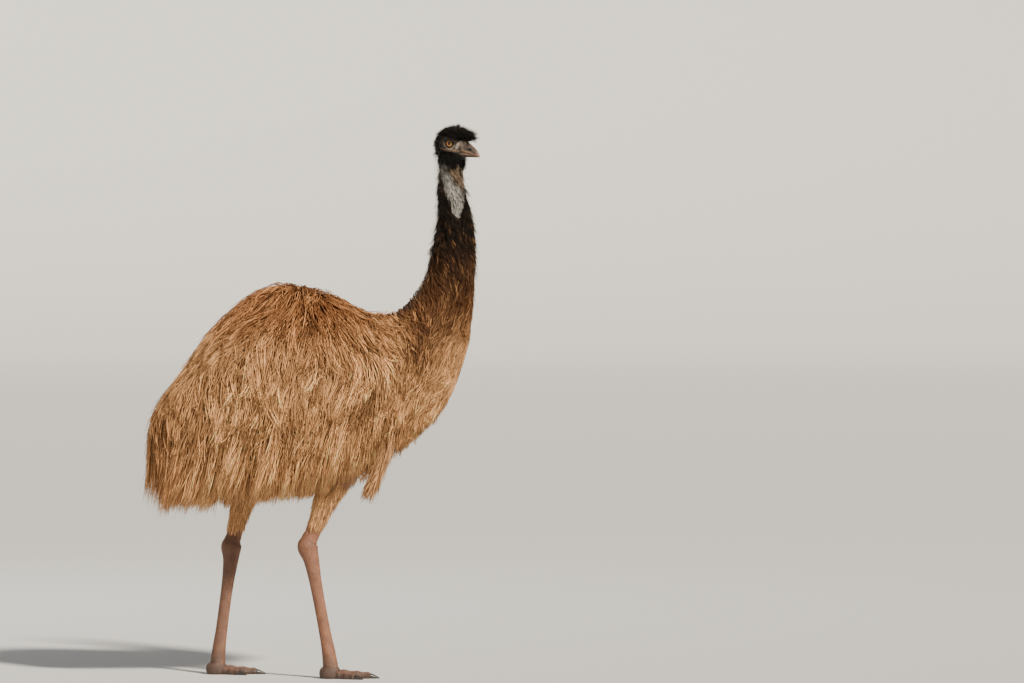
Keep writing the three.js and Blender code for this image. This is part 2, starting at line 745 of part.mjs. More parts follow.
// The origin goes under the middle of the model. Each node keeps its largest closed surface.
const bounds = new THREE.Box3();
for (const { made } of nodes) {
  const { min, max } = made.boundingBox();
  bounds.union(new THREE.Box3(v3(...min), v3(...max)));
}
const middle = bounds.getCenter(v3(0, 0, 0));
const emu = new THREE.Group();
for (const { name, made, material } of nodes) {
  const placed = solid(geometryOf(largest(made).translate([-middle.x, -middle.y, -bounds.min.z])));
  const mesh = new THREE.Mesh(geometryOf(largest(placed)), material);
  mesh.name = name;
  emu.add(mesh);
}

export default emu;
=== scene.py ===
# %% [markdown]
# # An emu, standing with its head turned
#
# This notebook dresses a life-size emu. The solids of the bird are loaded first as a fixed frame, and
# every mesh here is placed from them. Lengths are metres, +X is forward, +Y the bird's left and +Z up.

# %% Load the frame
import json
import math

import bmesh
import bpy
import numpy as np
from mathutils import Matrix, Vector, kdtree

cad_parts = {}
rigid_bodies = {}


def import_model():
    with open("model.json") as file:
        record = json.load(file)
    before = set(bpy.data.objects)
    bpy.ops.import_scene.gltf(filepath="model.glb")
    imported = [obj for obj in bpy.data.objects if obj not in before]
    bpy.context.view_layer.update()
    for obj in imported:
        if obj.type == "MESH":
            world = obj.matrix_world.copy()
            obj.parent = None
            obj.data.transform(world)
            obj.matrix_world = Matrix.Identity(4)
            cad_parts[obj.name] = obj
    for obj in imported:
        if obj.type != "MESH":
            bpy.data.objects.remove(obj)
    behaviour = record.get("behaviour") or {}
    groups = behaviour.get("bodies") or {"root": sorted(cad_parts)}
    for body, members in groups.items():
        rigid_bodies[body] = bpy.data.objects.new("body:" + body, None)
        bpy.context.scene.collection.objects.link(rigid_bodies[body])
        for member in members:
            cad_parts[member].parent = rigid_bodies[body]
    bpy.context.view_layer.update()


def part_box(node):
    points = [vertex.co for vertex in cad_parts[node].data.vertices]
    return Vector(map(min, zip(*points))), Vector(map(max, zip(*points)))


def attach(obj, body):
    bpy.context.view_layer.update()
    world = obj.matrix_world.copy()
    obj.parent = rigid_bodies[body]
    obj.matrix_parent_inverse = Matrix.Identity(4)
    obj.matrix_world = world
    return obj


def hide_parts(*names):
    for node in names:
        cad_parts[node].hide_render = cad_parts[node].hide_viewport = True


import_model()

# %% [markdown]
# The bird's own measurements come next. A trunk and neck is a row of oval cross-sections. Each has an
# upper end on the back, a lower end on the belly, a half width and the height of the plumage above it. A
# smooth curve through the row gives a section anywhere. This is quicker to shape than a sculpted mesh,
# and the same rows then steer the feathers.

# %% Measurements of the trunk and neck
rng = np.random.default_rng(7)

# back x, back z, belly x, belly z, half width, plumage height
TRUNK = np.array([
    (-0.450, 0.800, -0.444, 0.735, 0.045, 0.036),
    (-0.426, 0.843, -0.420, 0.700, 0.088, 0.038),
    (-0.380, 0.905, -0.376, 0.660, 0.134, 0.038),
    (-0.318, 0.986, -0.314, 0.638, 0.162, 0.042),
    (-0.240, 1.094, -0.235, 0.625, 0.188, 0.042),
    (-0.130, 1.185, -0.130, 0.615, 0.202, 0.044),
    (-0.020, 1.220, -0.010, 0.620, 0.204, 0.044),
    (0.090, 1.186, 0.110, 0.640, 0.196, 0.042),
    (0.190, 1.135, 0.225, 0.680, 0.178, 0.038),
    (0.262, 1.122, 0.325, 0.765, 0.152, 0.038),
    (0.318, 1.145, 0.432, 0.880, 0.125, 0.038),
    (0.357, 1.185, 0.499, 1.027, 0.103, 0.027),
    (0.392, 1.229, 0.525, 1.147, 0.082, 0.022),
    (0.418, 1.292, 0.535, 1.243, 0.065, 0.017),
    (0.430, 1.361, 0.542, 1.333, 0.056, 0.014),
    (0.443, 1.431, 0.540, 1.414, 0.049, 0.012),
    (0.450, 1.500, 0.526, 1.490, 0.042, 0.013),
    (0.446, 1.570, 0.517, 1.565, 0.038, 0.013),
    (0.444, 1.625, 0.512, 1.630, 0.037, 0.012),
    (0.452, 1.672, 0.503, 1.676, 0.032, 0.010),
])
STATIONS = len(TRUNK) - 1
EGG = 0.14  # how far the widest level sits below the middle of a section

# Head: point midway between the eyes, turn to the right and downward pitch
HEAD_AT = Vector((0.491, -0.011, 1.694))
HEAD_TURN, HEAD_PITCH = math.radians(32), math.radians(10)
EYE_RADIUS, EYE_SIDE = 0.0155, 0.0215
head_turned = Matrix.Rotation(-HEAD_TURN, 4, "Z") @ Matrix.Rotation(HEAD_PITCH, 4, "Y")

# The rows have their own origin: the right eye gives its distance from the frame's
eye_low, eye_high = (Vector(corner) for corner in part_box("eye_right"))
SHIFT = (eye_low + eye_high) / 2 - (HEAD_AT + head_turned @ Vector((0, -EYE_SIDE, 0)))
SHIFT.z = 0
HEAD_PLACE = Matrix.Translation(HEAD_AT + SHIFT) @ head_turned
TRUNK[:, [0, 2]] += SHIFT.x
print("rows moved by", [round(c, 4) for c in SHIFT])


# %% Curves and surfaces from rows of numbers
def spline(rows, u):
    """Smooth value of the rows at station u, for one station or many."""
    rows = np.asarray(rows, float)
    t = np.clip(u, 0, len(rows) - 1)
    i = np.minimum(t.astype(int) if isinstance(t, np.ndarray) else int(t), len(rows) - 2)
    f = t - i
    if rows.ndim > 1:
        f = np.asarray(f)[..., None]
    a, b, c, d = (rows[np.clip(i + k, 0, len(rows) - 1)] for k in (-1, 0, 1, 2))
    return b + 0.5 * f * (c - a + f * (2 * a - 5 * b + 4 * c - d + f * (3 * (b - c) + d - a)))


def trunk(u, phi, grow=0.0):
    """Points of the trunk's surface: phi runs from the back, 0, round the left side to the belly."""
    row = spline(TRUNK, u)
    back = np.stack([row[..., 0], 0 * row[..., 0], row[..., 1]], -1)
    belly = np.stack([row[..., 2], 0 * row[..., 0], row[..., 3]], -1)
    upward = back - belly
    height = np.linalg.norm(upward, axis=-1, keepdims=True)
    point = (back + belly) / 2 + upward / height * (height / 2 + grow) * np.cos(phi)[..., None]
    point[..., 1] = SHIFT.y + (row[..., 4] + grow) * np.sin(phi) * (1 - EGG * np.cos(phi))
    return point


def trunk_frame(u, phi):
    """Surface points, the two surface directions and the outward normals."""
    e = 0.02
    along_u = (trunk(u + e, phi) - trunk(u - e, phi)) / (2 * e)
    along_phi = (trunk(u, phi + e) - trunk(u, phi - e)) / (2 * e)
    normal = np.cross(along_u, along_phi)
    return trunk(u, phi), along_u, along_phi, unit(normal)


def unit(v):
    return v / np.maximum(np.linalg.norm(v, axis=-1, keepdims=True), 1e-12)


def mesh_of(name, points, faces, material=None):
    """Object from arrays of points and of faces that all have the same number of corners."""
    faces = np.asarray(faces, np.int32)
    mesh = bpy.data.meshes.new(name)
    mesh.vertices.add(len(points))
    mesh.vertices.foreach_set("co", np.asarray(points, np.float32).ravel())
    mesh.loops.add(faces.size)
    mesh.loops.foreach_set("vertex_index", faces.ravel())
    mesh.polygons.add(len(faces))
    mesh.polygons.foreach_set("loop_start", np.arange(0, faces.size, faces.shape[1], dtype=np.int32))
    mesh.update(calc_edges=True)
    mesh.polygons.foreach_set("use_smooth", np.ones(len(faces), bool))
    if material:
        mesh.materials.append(material)
    made = bpy.data.objects.new(name, mesh)
    bpy.context.scene.collection.objects.link(made)
    return made


def loft(rings):
    """Points and triangles of a closed tube through rings of points."""
    rings = np.asarray(rings, float)
    count, sides = rings.shape[:2]
    points = np.vstack([rings.reshape(-1, 3), rings[0].mean(0), rings[-1].mean(0)])
    j = np.arange(sides)
    k = (j + 1) % sides
    faces = []
    for i in range(count - 1):
        a, b = i * sides, (i + 1) * sides
        faces += [np.stack([a + j, a + k, b + k], 1), np.stack([a + j, b + k, b + j], 1)]
    faces.append(np.stack([np.full(sides, len(points) - 2), k, j], 1))
    last = (count - 1) * sides
    faces.append(np.stack([np.full(sides, len(points) - 1), last + j, last + k], 1))
    return points, np.vstack(faces)


# %% [markdown]
# Bare skin, horn and feathers each get a material made of nodes. Colours that change over the bird come
# from a colour stored at each point of the mesh. The skin and the feathers take it from the same
# function, so they carry the same markings.

# %% Small helpers for materials
def material(name, roughness, color=None, tint=None, specular=0.5, coat=0.0):
    """Material with a plain or stored colour, and its node tree and shader."""
    made = bpy.data.materials.new(name)
    made.use_nodes = True
    tree = made.node_tree
    shader = tree.nodes["Principled BSDF"]
    shader.inputs["Roughness"].default_value = roughness
    shader.inputs["Specular IOR Level"].default_value = specular
    shader.inputs["Coat Weight"].default_value = coat
    if color:
        shader.inputs["Base Color"].default_value = (*color, 1)
    if tint:
        stored = tree.nodes.new("ShaderNodeAttribute")
        stored.attribute_name = tint
        tree.links.new(stored.outputs["Color"], shader.inputs["Base Color"])
    return made, tree, shader


def noise(tree, scale, detail=4.0, stretch=(1, 1, 1)):
    """Noise over the object's own coordinates, stretched along its axes."""
    place = tree.nodes.new("ShaderNodeTexCoord")
    mapping = tree.nodes.new("ShaderNodeMapping")
    mapping.inputs["Scale"].default_value = stretch
    made = tree.nodes.new("ShaderNodeTexNoise")
    made.inputs["Scale"].default_value = scale
    made.inputs["Detail"].default_value = detail
    made.inputs["Roughness"].default_value = 0.6
    tree.links.new(place.outputs["Object"], mapping.inputs["Vector"])
    tree.links.new(mapping.outputs["Vector"], made.inputs["Vector"])
    return made.outputs["Fac"]


def ramp(tree, value, stops):
    """Colours for a value, from pairs of position and colour."""
    made = tree.nodes.new("ShaderNodeValToRGB")
    tree.links.new(value, made.inputs["Fac"])
    elements = made.color_ramp.elements
    while len(elements) < len(stops):
        elements.new(0.5)
    for element, (position, color) in zip(elements, stops):
        element.position = position
        element.color = (*color, 1)
    return made.outputs["Color"]


def multiply(tree, base, factor, amount=1.0):
    """A colour darkened or lightened by another."""
    made = tree.nodes.new("ShaderNodeMix")
    made.data_type = "RGBA"
    made.blend_type = "MULTIPLY"
    made.inputs["Factor"].default_value = amount
    tree.links.new(base, made.inputs["A"])
    tree.links.new(factor, made.inputs["B"])
    return made.outputs["Result"]


def tone(tree, shader, factor, amount=1.0):
    """Darkens or lightens the colour that the shader already has."""
    base = shader.inputs["Base Color"]
    tree.links.new(multiply(tree, base.links[0].from_socket, factor, amount), base)


def bump(tree, shader, height, strength, distance):
    made = tree.nodes.new("ShaderNodeBump")
    made.inputs["Strength"].default_value = strength
    made.inputs["Distance"].default_value = distance
    tree.links.new(height, made.inputs["Height"])
    tree.links.new(made.outputs["Normal"], shader.inputs["Normal"])


def grey(v):
    return (v, v, v)


# %% [markdown]
# The markings: straw-brown flanks with a rufous back and rump, a black-brown neck that fades into the
# breast, a patch of pale blue-grey skin on the side and front of the upper neck, and a dark face. Each is
# a soft blend over height and over how far forward a point lies.

# %% Markings
def blend(low, high, value):
    t = np.clip((value - low) / (high - low), 0, 1)
    return t * t * (3 - 2 * t)


def mix(a, b, share):
    return a + (np.asarray(b) - a) * share[:, None]


FLANK = (0.360, 0.178, 0.076)
STRAW = (0.680, 0.375, 0.175)
RUFOUS = (0.215, 0.080, 0.028)
RUMP = (0.350, 0.155, 0.064)
NECK_BROWN = (0.075, 0.030, 0.012)
GLINT = (0.400, 0.200, 0.085)
NECK_BLACK = (0.011, 0.008, 0.0065)
BLACK = (0.008, 0.0075, 0.007)


def plumage_tint(points, spread):
    """Colour of the feathers rooted at points; spread is a number from 0 to 1 for each."""
    x, z = points[:, 0] - SHIFT.x, points[:, 2]
    tint = mix(np.tile(FLANK, (len(points), 1)), STRAW, 0.95 * spread**1.5)
    tint = mix(tint, RUFOUS, (0.95 - 0.3 * spread) * blend(1.05, 1.20, z) * blend(0.38, 0.12, x))
    tint = mix(tint, RUMP, 0.55 * blend(-0.22, -0.42, x) * (0.5 + 0.5 * spread))
    tint = mix(tint, RUMP, 0.45 * blend(0.74, 0.60, z) * blend(0.3, -0.2, x))
    # The dark of the neck runs lower down its back than its front
    neck = blend(0.99, 1.17, z - 0.55 * (x - 0.45)) * blend(0.24, 0.36, x)
    tint = mix(tint, NECK_BROWN, neck * (1 - 0.45 * spread**3))
    tint = mix(tint, NECK_BLACK, blend(1.18, 1.44, z) * (1 - 0.25 * spread**5))
    # Painted highlight: the palest strands of the lower neck take an orange glint colour
    tint = mix(tint, GLINT, 0.8 * blend(0.86, 1.0, spread) * neck * blend(1.60, 1.22, z))
    return mix(tint, BLACK, blend(1.56, 1.64, z))


# Edges of the pale patch seen from the side: height, x of its rear edge and x of its front edge
PATCH = np.array([
    (1.452, 0.499, 0.500), (1.470, 0.487, 0.508), (1.4986, 0.474, 0.516), (1.524, 0.467, 0.519),
    (1.546, 0.459, 0.516), (1.565, 0.4535, 0.504), (1.578, 0.450, 0.490), (1.600, 0.4445, 0.474),
    (1.640, 0.436, 0.456)])
PATCH_PALE, PATCH_BLUE, PATCH_TAN = (0.66, 0.63, 0.58), (0.36, 0.41, 0.43), (0.330, 0.235, 0.160)
# Near-black of the painted shade on the skin under the plumage
UNDER_PLUMAGE_SHADE = (0.030, 0.018, 0.011)
SHIN_RED = (0.245, 0.105, 0.058)


def pale_patch(points, soft=0.004):
    """Share of pale skin, 0 to 1, at each point of the upper neck, over an edge of half width soft."""
    x, z = points[:, 0] - SHIFT.x, points[:, 2]
    rear, front = np.interp(z, PATCH[:, 0], PATCH[:, 1]), np.interp(z, PATCH[:, 0], PATCH[:, 2])
    inside = blend(rear - soft, rear + soft, x) * blend(front + 1.5 * soft, front - soft, x)
    return inside * blend(1.458 - 2 * soft, 1.458 + 2 * soft, z) * blend(1.652, 1.634, z)


def tan_patch(points):
    """Share of thinly covered tan skin between the pale patch and the throat."""
    x, z = points[:, 0] - SHIFT.x, points[:, 2]
    front = np.interp(z, PATCH[:, 0], PATCH[:, 2])
    return blend(front - 0.003, front + 0.006, x) * blend(1.535, 1.560, z) * blend(1.644, 1.624, z)


def bare_patch(points):
    return np.maximum(pale_patch(points), 0.62 * tan_patch(points))


# The third colour is the horn-brown of the forehead and the bill's root, and is also used for a painted
# highlight along the brow
FACE, FACE_OLIVE, FACE_HORN_AND_BROW_HIGHLIGHT = (0.070, 0.052, 0.040), (0.130, 0.092, 0.056), (0.130, 0.096, 0.072)
LID_PALE, LORE, GAPE = (0.50, 0.40, 0.30), (0.36, 0.315, 0.27), (0.40, 0.240, 0.145)
GAPE_LINE = np.array([(-0.020, -0.0240), (-0.006, -0.0195), (0.012, -0.0185), (0.034, -0.0195)])


def face_tint(local):
    """Colour of the bare face at points of the head's own frame."""
    x, z = local[:, 0], local[:, 2]
    tint = np.tile(FACE, (len(local), 1))
    cheek = 0.8 * blend(-0.012, -0.024, x) * blend(0.012, 0.0, z) * blend(-0.028, -0.020, z)
    tint = mix(tint, FACE_OLIVE, cheek)
    tint = mix(tint, FACE_HORN_AND_BROW_HIGHLIGHT, 0.9 * blend(0.022, 0.036, x) * blend(-0.016, -0.004, z))
    # Painted highlight: a pale band along the brow ridge
    tint = mix(tint, FACE_HORN_AND_BROW_HIGHLIGHT, 0.8 * np.exp(-(((z - 0.0165) / 0.004) ** 2)) * blend(-0.024, -0.010, x))
    eye = np.hypot(x / 0.0185, z / 0.0165)
    tint = mix(tint, BLACK, 0.85 * blend(1.12, 0.92, eye))
    tint = mix(tint, LID_PALE, 0.85 * np.exp(-(((eye - 1.0) / 0.075) ** 2)) * blend(0.003, -0.004, z))
    lore = np.hypot((x - 0.0285 - 0.25 * z) / 0.0050, (z + 0.003) / 0.0115)
    tint = mix(tint, LORE, 0.9 * blend(1.25, 0.7, lore))
    line = np.interp(x, *GAPE_LINE.T)
    tint = mix(tint, GAPE, 0.9 * np.exp(-(((z - line) / 0.0017) ** 2)) * blend(-0.022, -0.012, x))
    tint = mix(tint, BLACK, 0.92 * blend(-0.030, -0.041, x))
    # Painted shade: the ear opening inside its rim is painted black
    ear = np.hypot((x + 0.0285) / 0.0055, (z + 0.011) / 0.0065)
    tint = mix(tint, BLACK, blend(1.1, 0.8, ear))
    return mix(tint, BLACK, blend(-0.026, -0.034, z))


def skin_tint(points):
    z = points[:, 2]
    # Painted shade: the skin under the plumage is the plumage colour darkened and mixed towards a
    # near-black, less so low on the body
    low = blend(0.80, 0.70, z)
    plumage_shaded = plumage_tint(points, np.zeros(len(points))) * (0.35 + 0.45 * low)[:, None]
    tint = mix(plumage_shaded, UNDER_PLUMAGE_SHADE, 0.5 - 0.35 * low)
    pale = mix(np.tile(PATCH_PALE, (len(points), 1)), PATCH_BLUE, 0.55 * blend(1.50, 1.46, z))
    tint = mix(tint, SHIN_RED, blend(0.530, 0.480, z))
    tint = mix(tint, PATCH_TAN, tan_patch(points))
    tint = mix(tint, pale, pale_patch(points))
    back = HEAD_PLACE.inverted()
    local = points @ np.array(back.to_3x3()).T + np.array(back.translation)
    face = face_tint(local)
    return mix(tint, face, blend(-0.056, -0.046, local[:, 2]) * blend(1.630, 1.645, z))


def store(made, name, colours):
    """Colour at each point of a mesh."""
    layer = made.data.color_attributes.new(name, "FLOAT_COLOR", "POINT")
    opaque = np.column_stack([colours, np.ones(len(colours))])
    layer.data.foreach_set("color", opaque.astype(np.float32).ravel())


# %% [markdown]
# ## Skin
#
# The head is lofted in its own frame, nose along X, from a row of sections of the skull, and lids, brows,
# cheeks and throat are added as small ovals. A voxel remesh then melts all of them into one closed skin.
# A sculpt would do it too, but the loft keeps the sizes exact. The neck stump goes down far enough for
# its lower edge to lie under the neck's plumage.

# %% Shapes of the head in its own frame
SKULL = np.array([  # x, top, bottom, half width
    (-0.057, 0.006, -0.014, 0.012), (-0.050, 0.021, -0.031, 0.024), (-0.036, 0.031, -0.042, 0.031),
    (-0.016, 0.035, -0.046, 0.034), (0.005, 0.035, -0.044, 0.033), (0.022, 0.031, -0.041, 0.030),
    (0.037, 0.024, -0.038, 0.0245), (0.047, 0.015, -0.034, 0.019), (0.051, 0.008, -0.030, 0.013),
])


def skull_rings(steps, sides):
    angle = np.linspace(0, 2 * np.pi, sides, endpoint=False)
    rings = []
    for u in np.linspace(0, len(SKULL) - 1, steps):
        x, top, bottom, half = spline(SKULL, u)
        pinch = 1 - 0.07 * np.exp(-((np.sin(angle) + 0.15) / 0.3) ** 2)  # hollow of the cheek below the eye
        rings.append(np.stack([np.full(sides, x), half * np.cos(angle) * pinch,
                               (top + bottom) / 2 + (top - bottom) / 2 * np.sin(angle)], 1))
    return rings


def oval(centre, radii, turn=(0, 0, 0), rings=14, sides=20):
    """Closed ellipsoid as a loft."""
    steps = np.linspace(0.05, np.pi - 0.05, rings)
    angle = np.linspace(0, 2 * np.pi, sides, endpoint=False)
    made = [np.stack([np.full(sides, -math.cos(s)), math.sin(s) * np.cos(angle),
                      math.sin(s) * np.sin(angle)], 1) for s in steps]
    points, faces = loft(made)
    roll, pitch, yaw = (Matrix.Rotation(a, 3, axis) for a, axis in zip(turn, "XYZ"))
    turned = yaw @ pitch @ roll
    return (points * radii) @ np.array(turned).T + centre, faces


def tube(path, radii, sides=10, flat=1.0):
    """Round tube along points, with a radius at each."""
    path = np.asarray(path, float)
    ahead = unit(np.gradient(path, axis=0))
    side = unit(np.cross(ahead, (0.0, 0.0, 1.0) if abs(ahead[:, 2]).mean() < 0.8 else (0.0, 1.0, 0.0)))
    over = np.cross(side, ahead)
    angle = np.linspace(0, 2 * np.pi, sides, endpoint=False)
    rings = [p + r * (np.cos(angle)[:, None] * s + flat * np.sin(angle)[:, None] * o)
             for p, r, s, o in zip(path, radii, side, over)]
    return loft(rings)


def lid_path(side, low, high, outward, size=1.0):
    """Points along a lid round the eye, from angle low to angle high."""
    angle = np.radians(np.linspace(low, high, 18))
    return np.stack([0.0132 * size * np.cos(angle), np.full(18, side * outward),
                     0.0118 * size * np.sin(angle)], 1)


# %% Head parts
def head_parts():
    parts = [loft(skull_rings(36, 40))]
    parts.append(oval((0.006, 0, -0.036), (0.036, 0.0245, 0.023)))
    for side in (-1, 1):
        out = EYE_SIDE + 0.0095
        parts.append(tube(lid_path(side, 8, 172, out + 0.0012) * (1, 1, 0.78), np.full(18, 0.0036)))
        parts.append(tube(lid_path(side, 192, 348, out, 1.02), np.full(18, 0.0022)))
        parts.append(tube(lid_path(side, 198, 340, out - 0.0025, 1.42), np.full(18, 0.0018)))
        # Brow ridge, heavy over the front of the eye
        brow = np.array([(-0.020, side * 0.0325, 0.0130), (-0.008, side * 0.0355, 0.0160),
                         (0.006, side * 0.0355, 0.0150), (0.020, side * 0.0295, 0.0105),
                         (0.030, side * 0.0225, 0.0050)])
        parts.append(tube(brow, [0.003, 0.0048, 0.0054, 0.0046, 0.002]))
        # Corner of the mouth and the fold that runs back from it
        gape = np.array([(0.030, side * 0.0215, -0.0185), (0.012, side * 0.0275, -0.0178),
                         (-0.006, side * 0.0312, -0.0190), (-0.018, side * 0.0320, -0.0235)])
        parts.append(tube(gape, [0.0022, 0.0030, 0.0032, 0.0012]))
        lower = gape + (0.0, 0.0, -0.0062)
        parts.append(tube(lower[:3], [0.0022, 0.0030, 0.0022]))
        # Rim of the ear opening
        angle = np.linspace(0, 2 * np.pi, 17)
        ear = np.stack([-0.0285 + 0.0062 * np.cos(angle), np.full(17, side * 0.0312),
                        -0.0110 + 0.0075 * np.sin(angle)], 1)
        parts.append(tube(ear, np.full(17, 0.0018), 8))
    return parts


def joined(name, parts):
    """One object from many closed parts."""
    points, faces, base = [], [], 0
    for part_points, part_faces in parts:
        points.append(part_points)
        faces.append(part_faces + base)
        base += len(part_points)
    return mesh_of(name, np.vstack(points), np.vstack(faces))


def apply_modifiers(made):
    """Keep the mesh that the object's modifiers give."""
    evaluated = made.evaluated_get(bpy.context.evaluated_depsgraph_get())
    mesh = bpy.data.meshes.new_from_object(evaluated)
    made.modifiers.clear()
    made.data = mesh


def melt(made, voxel, smoothing):
    """One closed skin from overlapping parts."""
    remesh = made.modifiers.new("melt", "REMESH")
    remesh.mode = "VOXEL"
    remesh.voxel_size = voxel
    smooth = made.modifiers.new("smooth", "SMOOTH")
    smooth.factor = 0.5
    smooth.iterations = smoothing
    apply_modifiers(made)
    made.data.polygons.foreach_set("use_smooth", np.ones(len(made.data.polygons), bool))


def cut_out(made, tool):
    """Takes the shape of a tool out of a mesh, and deletes the tool."""
    cut = made.modifiers.new("cut", "BOOLEAN")
    cut.operation, cut.object = "DIFFERENCE", tool
    apply_modifiers(made)
    bpy.data.objects.remove(tool)


def points_of(made):
    points = np.empty(len(made.data.vertices) * 3, np.float32)
    made.data.vertices.foreach_get("co", points)
    return points.reshape(-1, 3).astype(float)


def place(parts, matrix=HEAD_PLACE):
    turn, shift = np.array(matrix.to_3x3()), np.array(matrix.translation)
    return [(points @ turn.T + shift, faces) for points, faces in parts]


# %% Head and upper neck
NECK_STUMP = 13.2


def trunk_rings(low, high, steps, sides, grow=0.0):
    angle = np.linspace(0, 2 * np.pi, sides, endpoint=False)
    return [trunk(np.full(sides, u), angle, grow) for u in np.linspace(low, high, steps)]


head = joined("head_skin", place(head_parts()) + [loft(trunk_rings(NECK_STUMP, STATIONS, 50, 40, -0.001))])
melt(head, 0.0015, 3)

# The eyes sit in sockets cut out of the skin
for side in (-1, 1):
    socket = oval((0, side * EYE_SIDE, 0), (EYE_RADIUS + 0.0002,) * 3, rings=40, sides=48)
    cut_out(head, joined("socket", place([socket])))
print("head skin:", len(head.data.polygons), "faces")

# %% [markdown]
# The skin under the body's plumage is hardly seen, so it is one plain loft with the thighs and the short
# wings melted in. It joins the head's mesh as one skin, and their meeting lies under the neck's feathers.

# %% Body skin
LEG_SIDE = 0.096
TOE_JOINT_Z = 0.045
LEGS = {  # side, x of the toe joint, hock and knee (x, z)
    "right": (-1, 0.099, (0.030, 0.416), (0.140, 0.720)),
    "left": (1, -0.268, (-0.220, 0.406), (-0.150, 0.700)),
}
WING = np.array([(0.312, 0.118, 0.850, 0.015), (0.296, 0.150, 0.790, 0.014), (0.272, 0.160, 0.715, 0.011),
                 (0.245, 0.158, 0.650, 0.007)])


def at(x, y, z):
    return np.array((x + SHIFT.x, y + SHIFT.y, z))


def limb(rows, steps, sides):
    """Rings of a limb through rows of x, y, z, fore-and-aft half depth and half width."""
    rows = np.asarray(rows, float)
    angle = np.linspace(0, 2 * np.pi, sides, endpoint=False)
    u = np.linspace(0, len(rows) - 1, steps)
    line = spline(rows, u)
    ahead = unit(np.gradient(line[:, :3], axis=0))
    side = unit(np.array((0.0, 1.0, 0.0)) - ahead * ahead[:, 1:2])
    front = np.cross(side, ahead)
    rings = [p[:3] + np.cos(angle)[:, None] * s * p[4] + np.sin(angle)[:, None] * f * p[3]
             for p, s, f in zip(line, side, front)]
    return rings


def thigh_rows(leg):
    side, _, (hx, hz), (kx, kz) = leg
    y = side * LEG_SIDE
    rows = [(hx, y, hz + 0.016, 0.025, 0.020), (hx + 0.22 * (kx - hx), y, hz + 0.075, 0.026, 0.022),
            (hx + 0.5 * (kx - hx), y, hz + 0.150, 0.036, 0.031),
            (hx + 0.78 * (kx - hx), y, hz + 0.220, 0.056, 0.045),
            (kx, y, kz, 0.072, 0.055)]
    return [(*at(*row[:3]), *row[3:]) for row in rows]


def wing_rows(side):
    return [(*at(x, side * y, z), r * 1.1, r * 0.75) for x, y, z, r in WING]


body_parts = [loft(trunk_rings(0, NECK_STUMP + 0.8, 90, 60, -0.002))]
body_parts += [loft(limb(thigh_rows(leg), 30, 24)) for leg in LEGS.values()]
body_parts += [loft(limb(wing_rows(side), 20, 14)) for side in (-1, 1)]
body = joined("body_skin", body_parts)
melt(body, 0.006, 4)
print("body skin:", len(body.data.polygons), "faces")

# %% One skin, with the markings stored on it
for other in bpy.context.selected_objects:
    other.select_set(False)
bpy.context.view_layer.objects.active = head
for made in (head, body):
    made.select_set(True)
bpy.ops.object.join()
skin = head
skin.name = "skin"
store(skin, "tint", skin_tint(points_of(skin)))


def skin_material():
    made, tree, shader = material("bare skin", 0.62, tint="tint", specular=0.35)
    fine = noise(tree, 420, 5)
    creases = noise(tree, 95, 3, (0.6, 0.6, 2.2))
    # Painted shade and highlight: the creases noise that sets the bump also darkens the skin where it is low
    # and lightens it where it is high
    tone(tree, shader, ramp(tree, creases, [(0.3, grey(0.82)), (0.6, grey(1.0)), (0.8, (1.12, 1.08, 1.04))]))
    tone(tree, shader, ramp(tree, fine, [(0.35, grey(0.72)), (0.65, grey(1.0))]), 0.6)
    bump(tree, shader, creases, 0.35, 0.0014)
    return made


skin.data.materials.clear()
skin.data.materials.append(skin_material())
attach(skin, "root")
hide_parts("head", "neck_upper", "neck_lower", "torso", "tail", "wing_left", "wing_right",
            "drumstick_left", "drumstick_right")
print("skin:", len(skin.data.polygons), "faces in one piece")

# %% [markdown]
# ## Plumage
#
# An emu's feather has two limp shafts with loose barbs, so its plumage hangs like coarse hair and sticks
# together in strands. Each tuft here is a thin, closed, three-sided spike. It starts in the skin, follows
# the body down the lie of the plumage and hangs free below the widest level. Neighbours lean towards a
# shared leader, which gives the strands. Hair curves would be lighter, but a solid tuft can be shown
# anywhere.

# %% Lie of the plumage
UPPER_LEAN = np.array([(-0.480, -0.4), (-0.400, -0.8), (-0.300, -1.4), (-0.130, -1.1), (-0.040, -0.5),
                       (0.060, 0.25), (0.160, 0.75), (0.300, 0.9), (0.400, 0.4), (0.550, 0.2)])
LOWER_LEAN = np.array([(-0.450, -0.32), (-0.350, -0.3), (-0.200, -0.3), (0.0, -0.2), (0.150, -0.3),
                       (0.300, -0.2), (0.450, -0.5)])
HEM = np.array([(-0.440, 0.535), (-0.200, 0.532), (-0.180, 0.543), (-0.044, 0.568), (0.060, 0.579),
                (0.120, 0.590), (0.203, 0.622), (0.330, 0.737), (0.420, 0.810)])


def lie(u, phi, at):
    """Direction in which the plumage falls at points of the trunk."""
    row = spline(TRUNK, u)
    top, low = row[:, 1], row[:, 3]
    x = at[:, 0] - SHIFT.x
    depth = (top - at[:, 2]) / np.maximum(top - low, 0.12)
    upper = 1 - blend(np.where(x < 0, 0.16, 0.2), np.where(x < 0, 0.32, 0.5), depth)
    lean = np.interp(x, *LOWER_LEAN.T) * (1 - upper) + np.interp(x, *UPPER_LEAN.T) * upper
    parting = 0.5 * np.sin(phi) + 0.45 * np.sign(phi) * np.exp(-((phi / 0.5) ** 2))
    return unit(np.stack([lean, parting, np.full(len(u), -1.0)], 1))


STEPS = 12


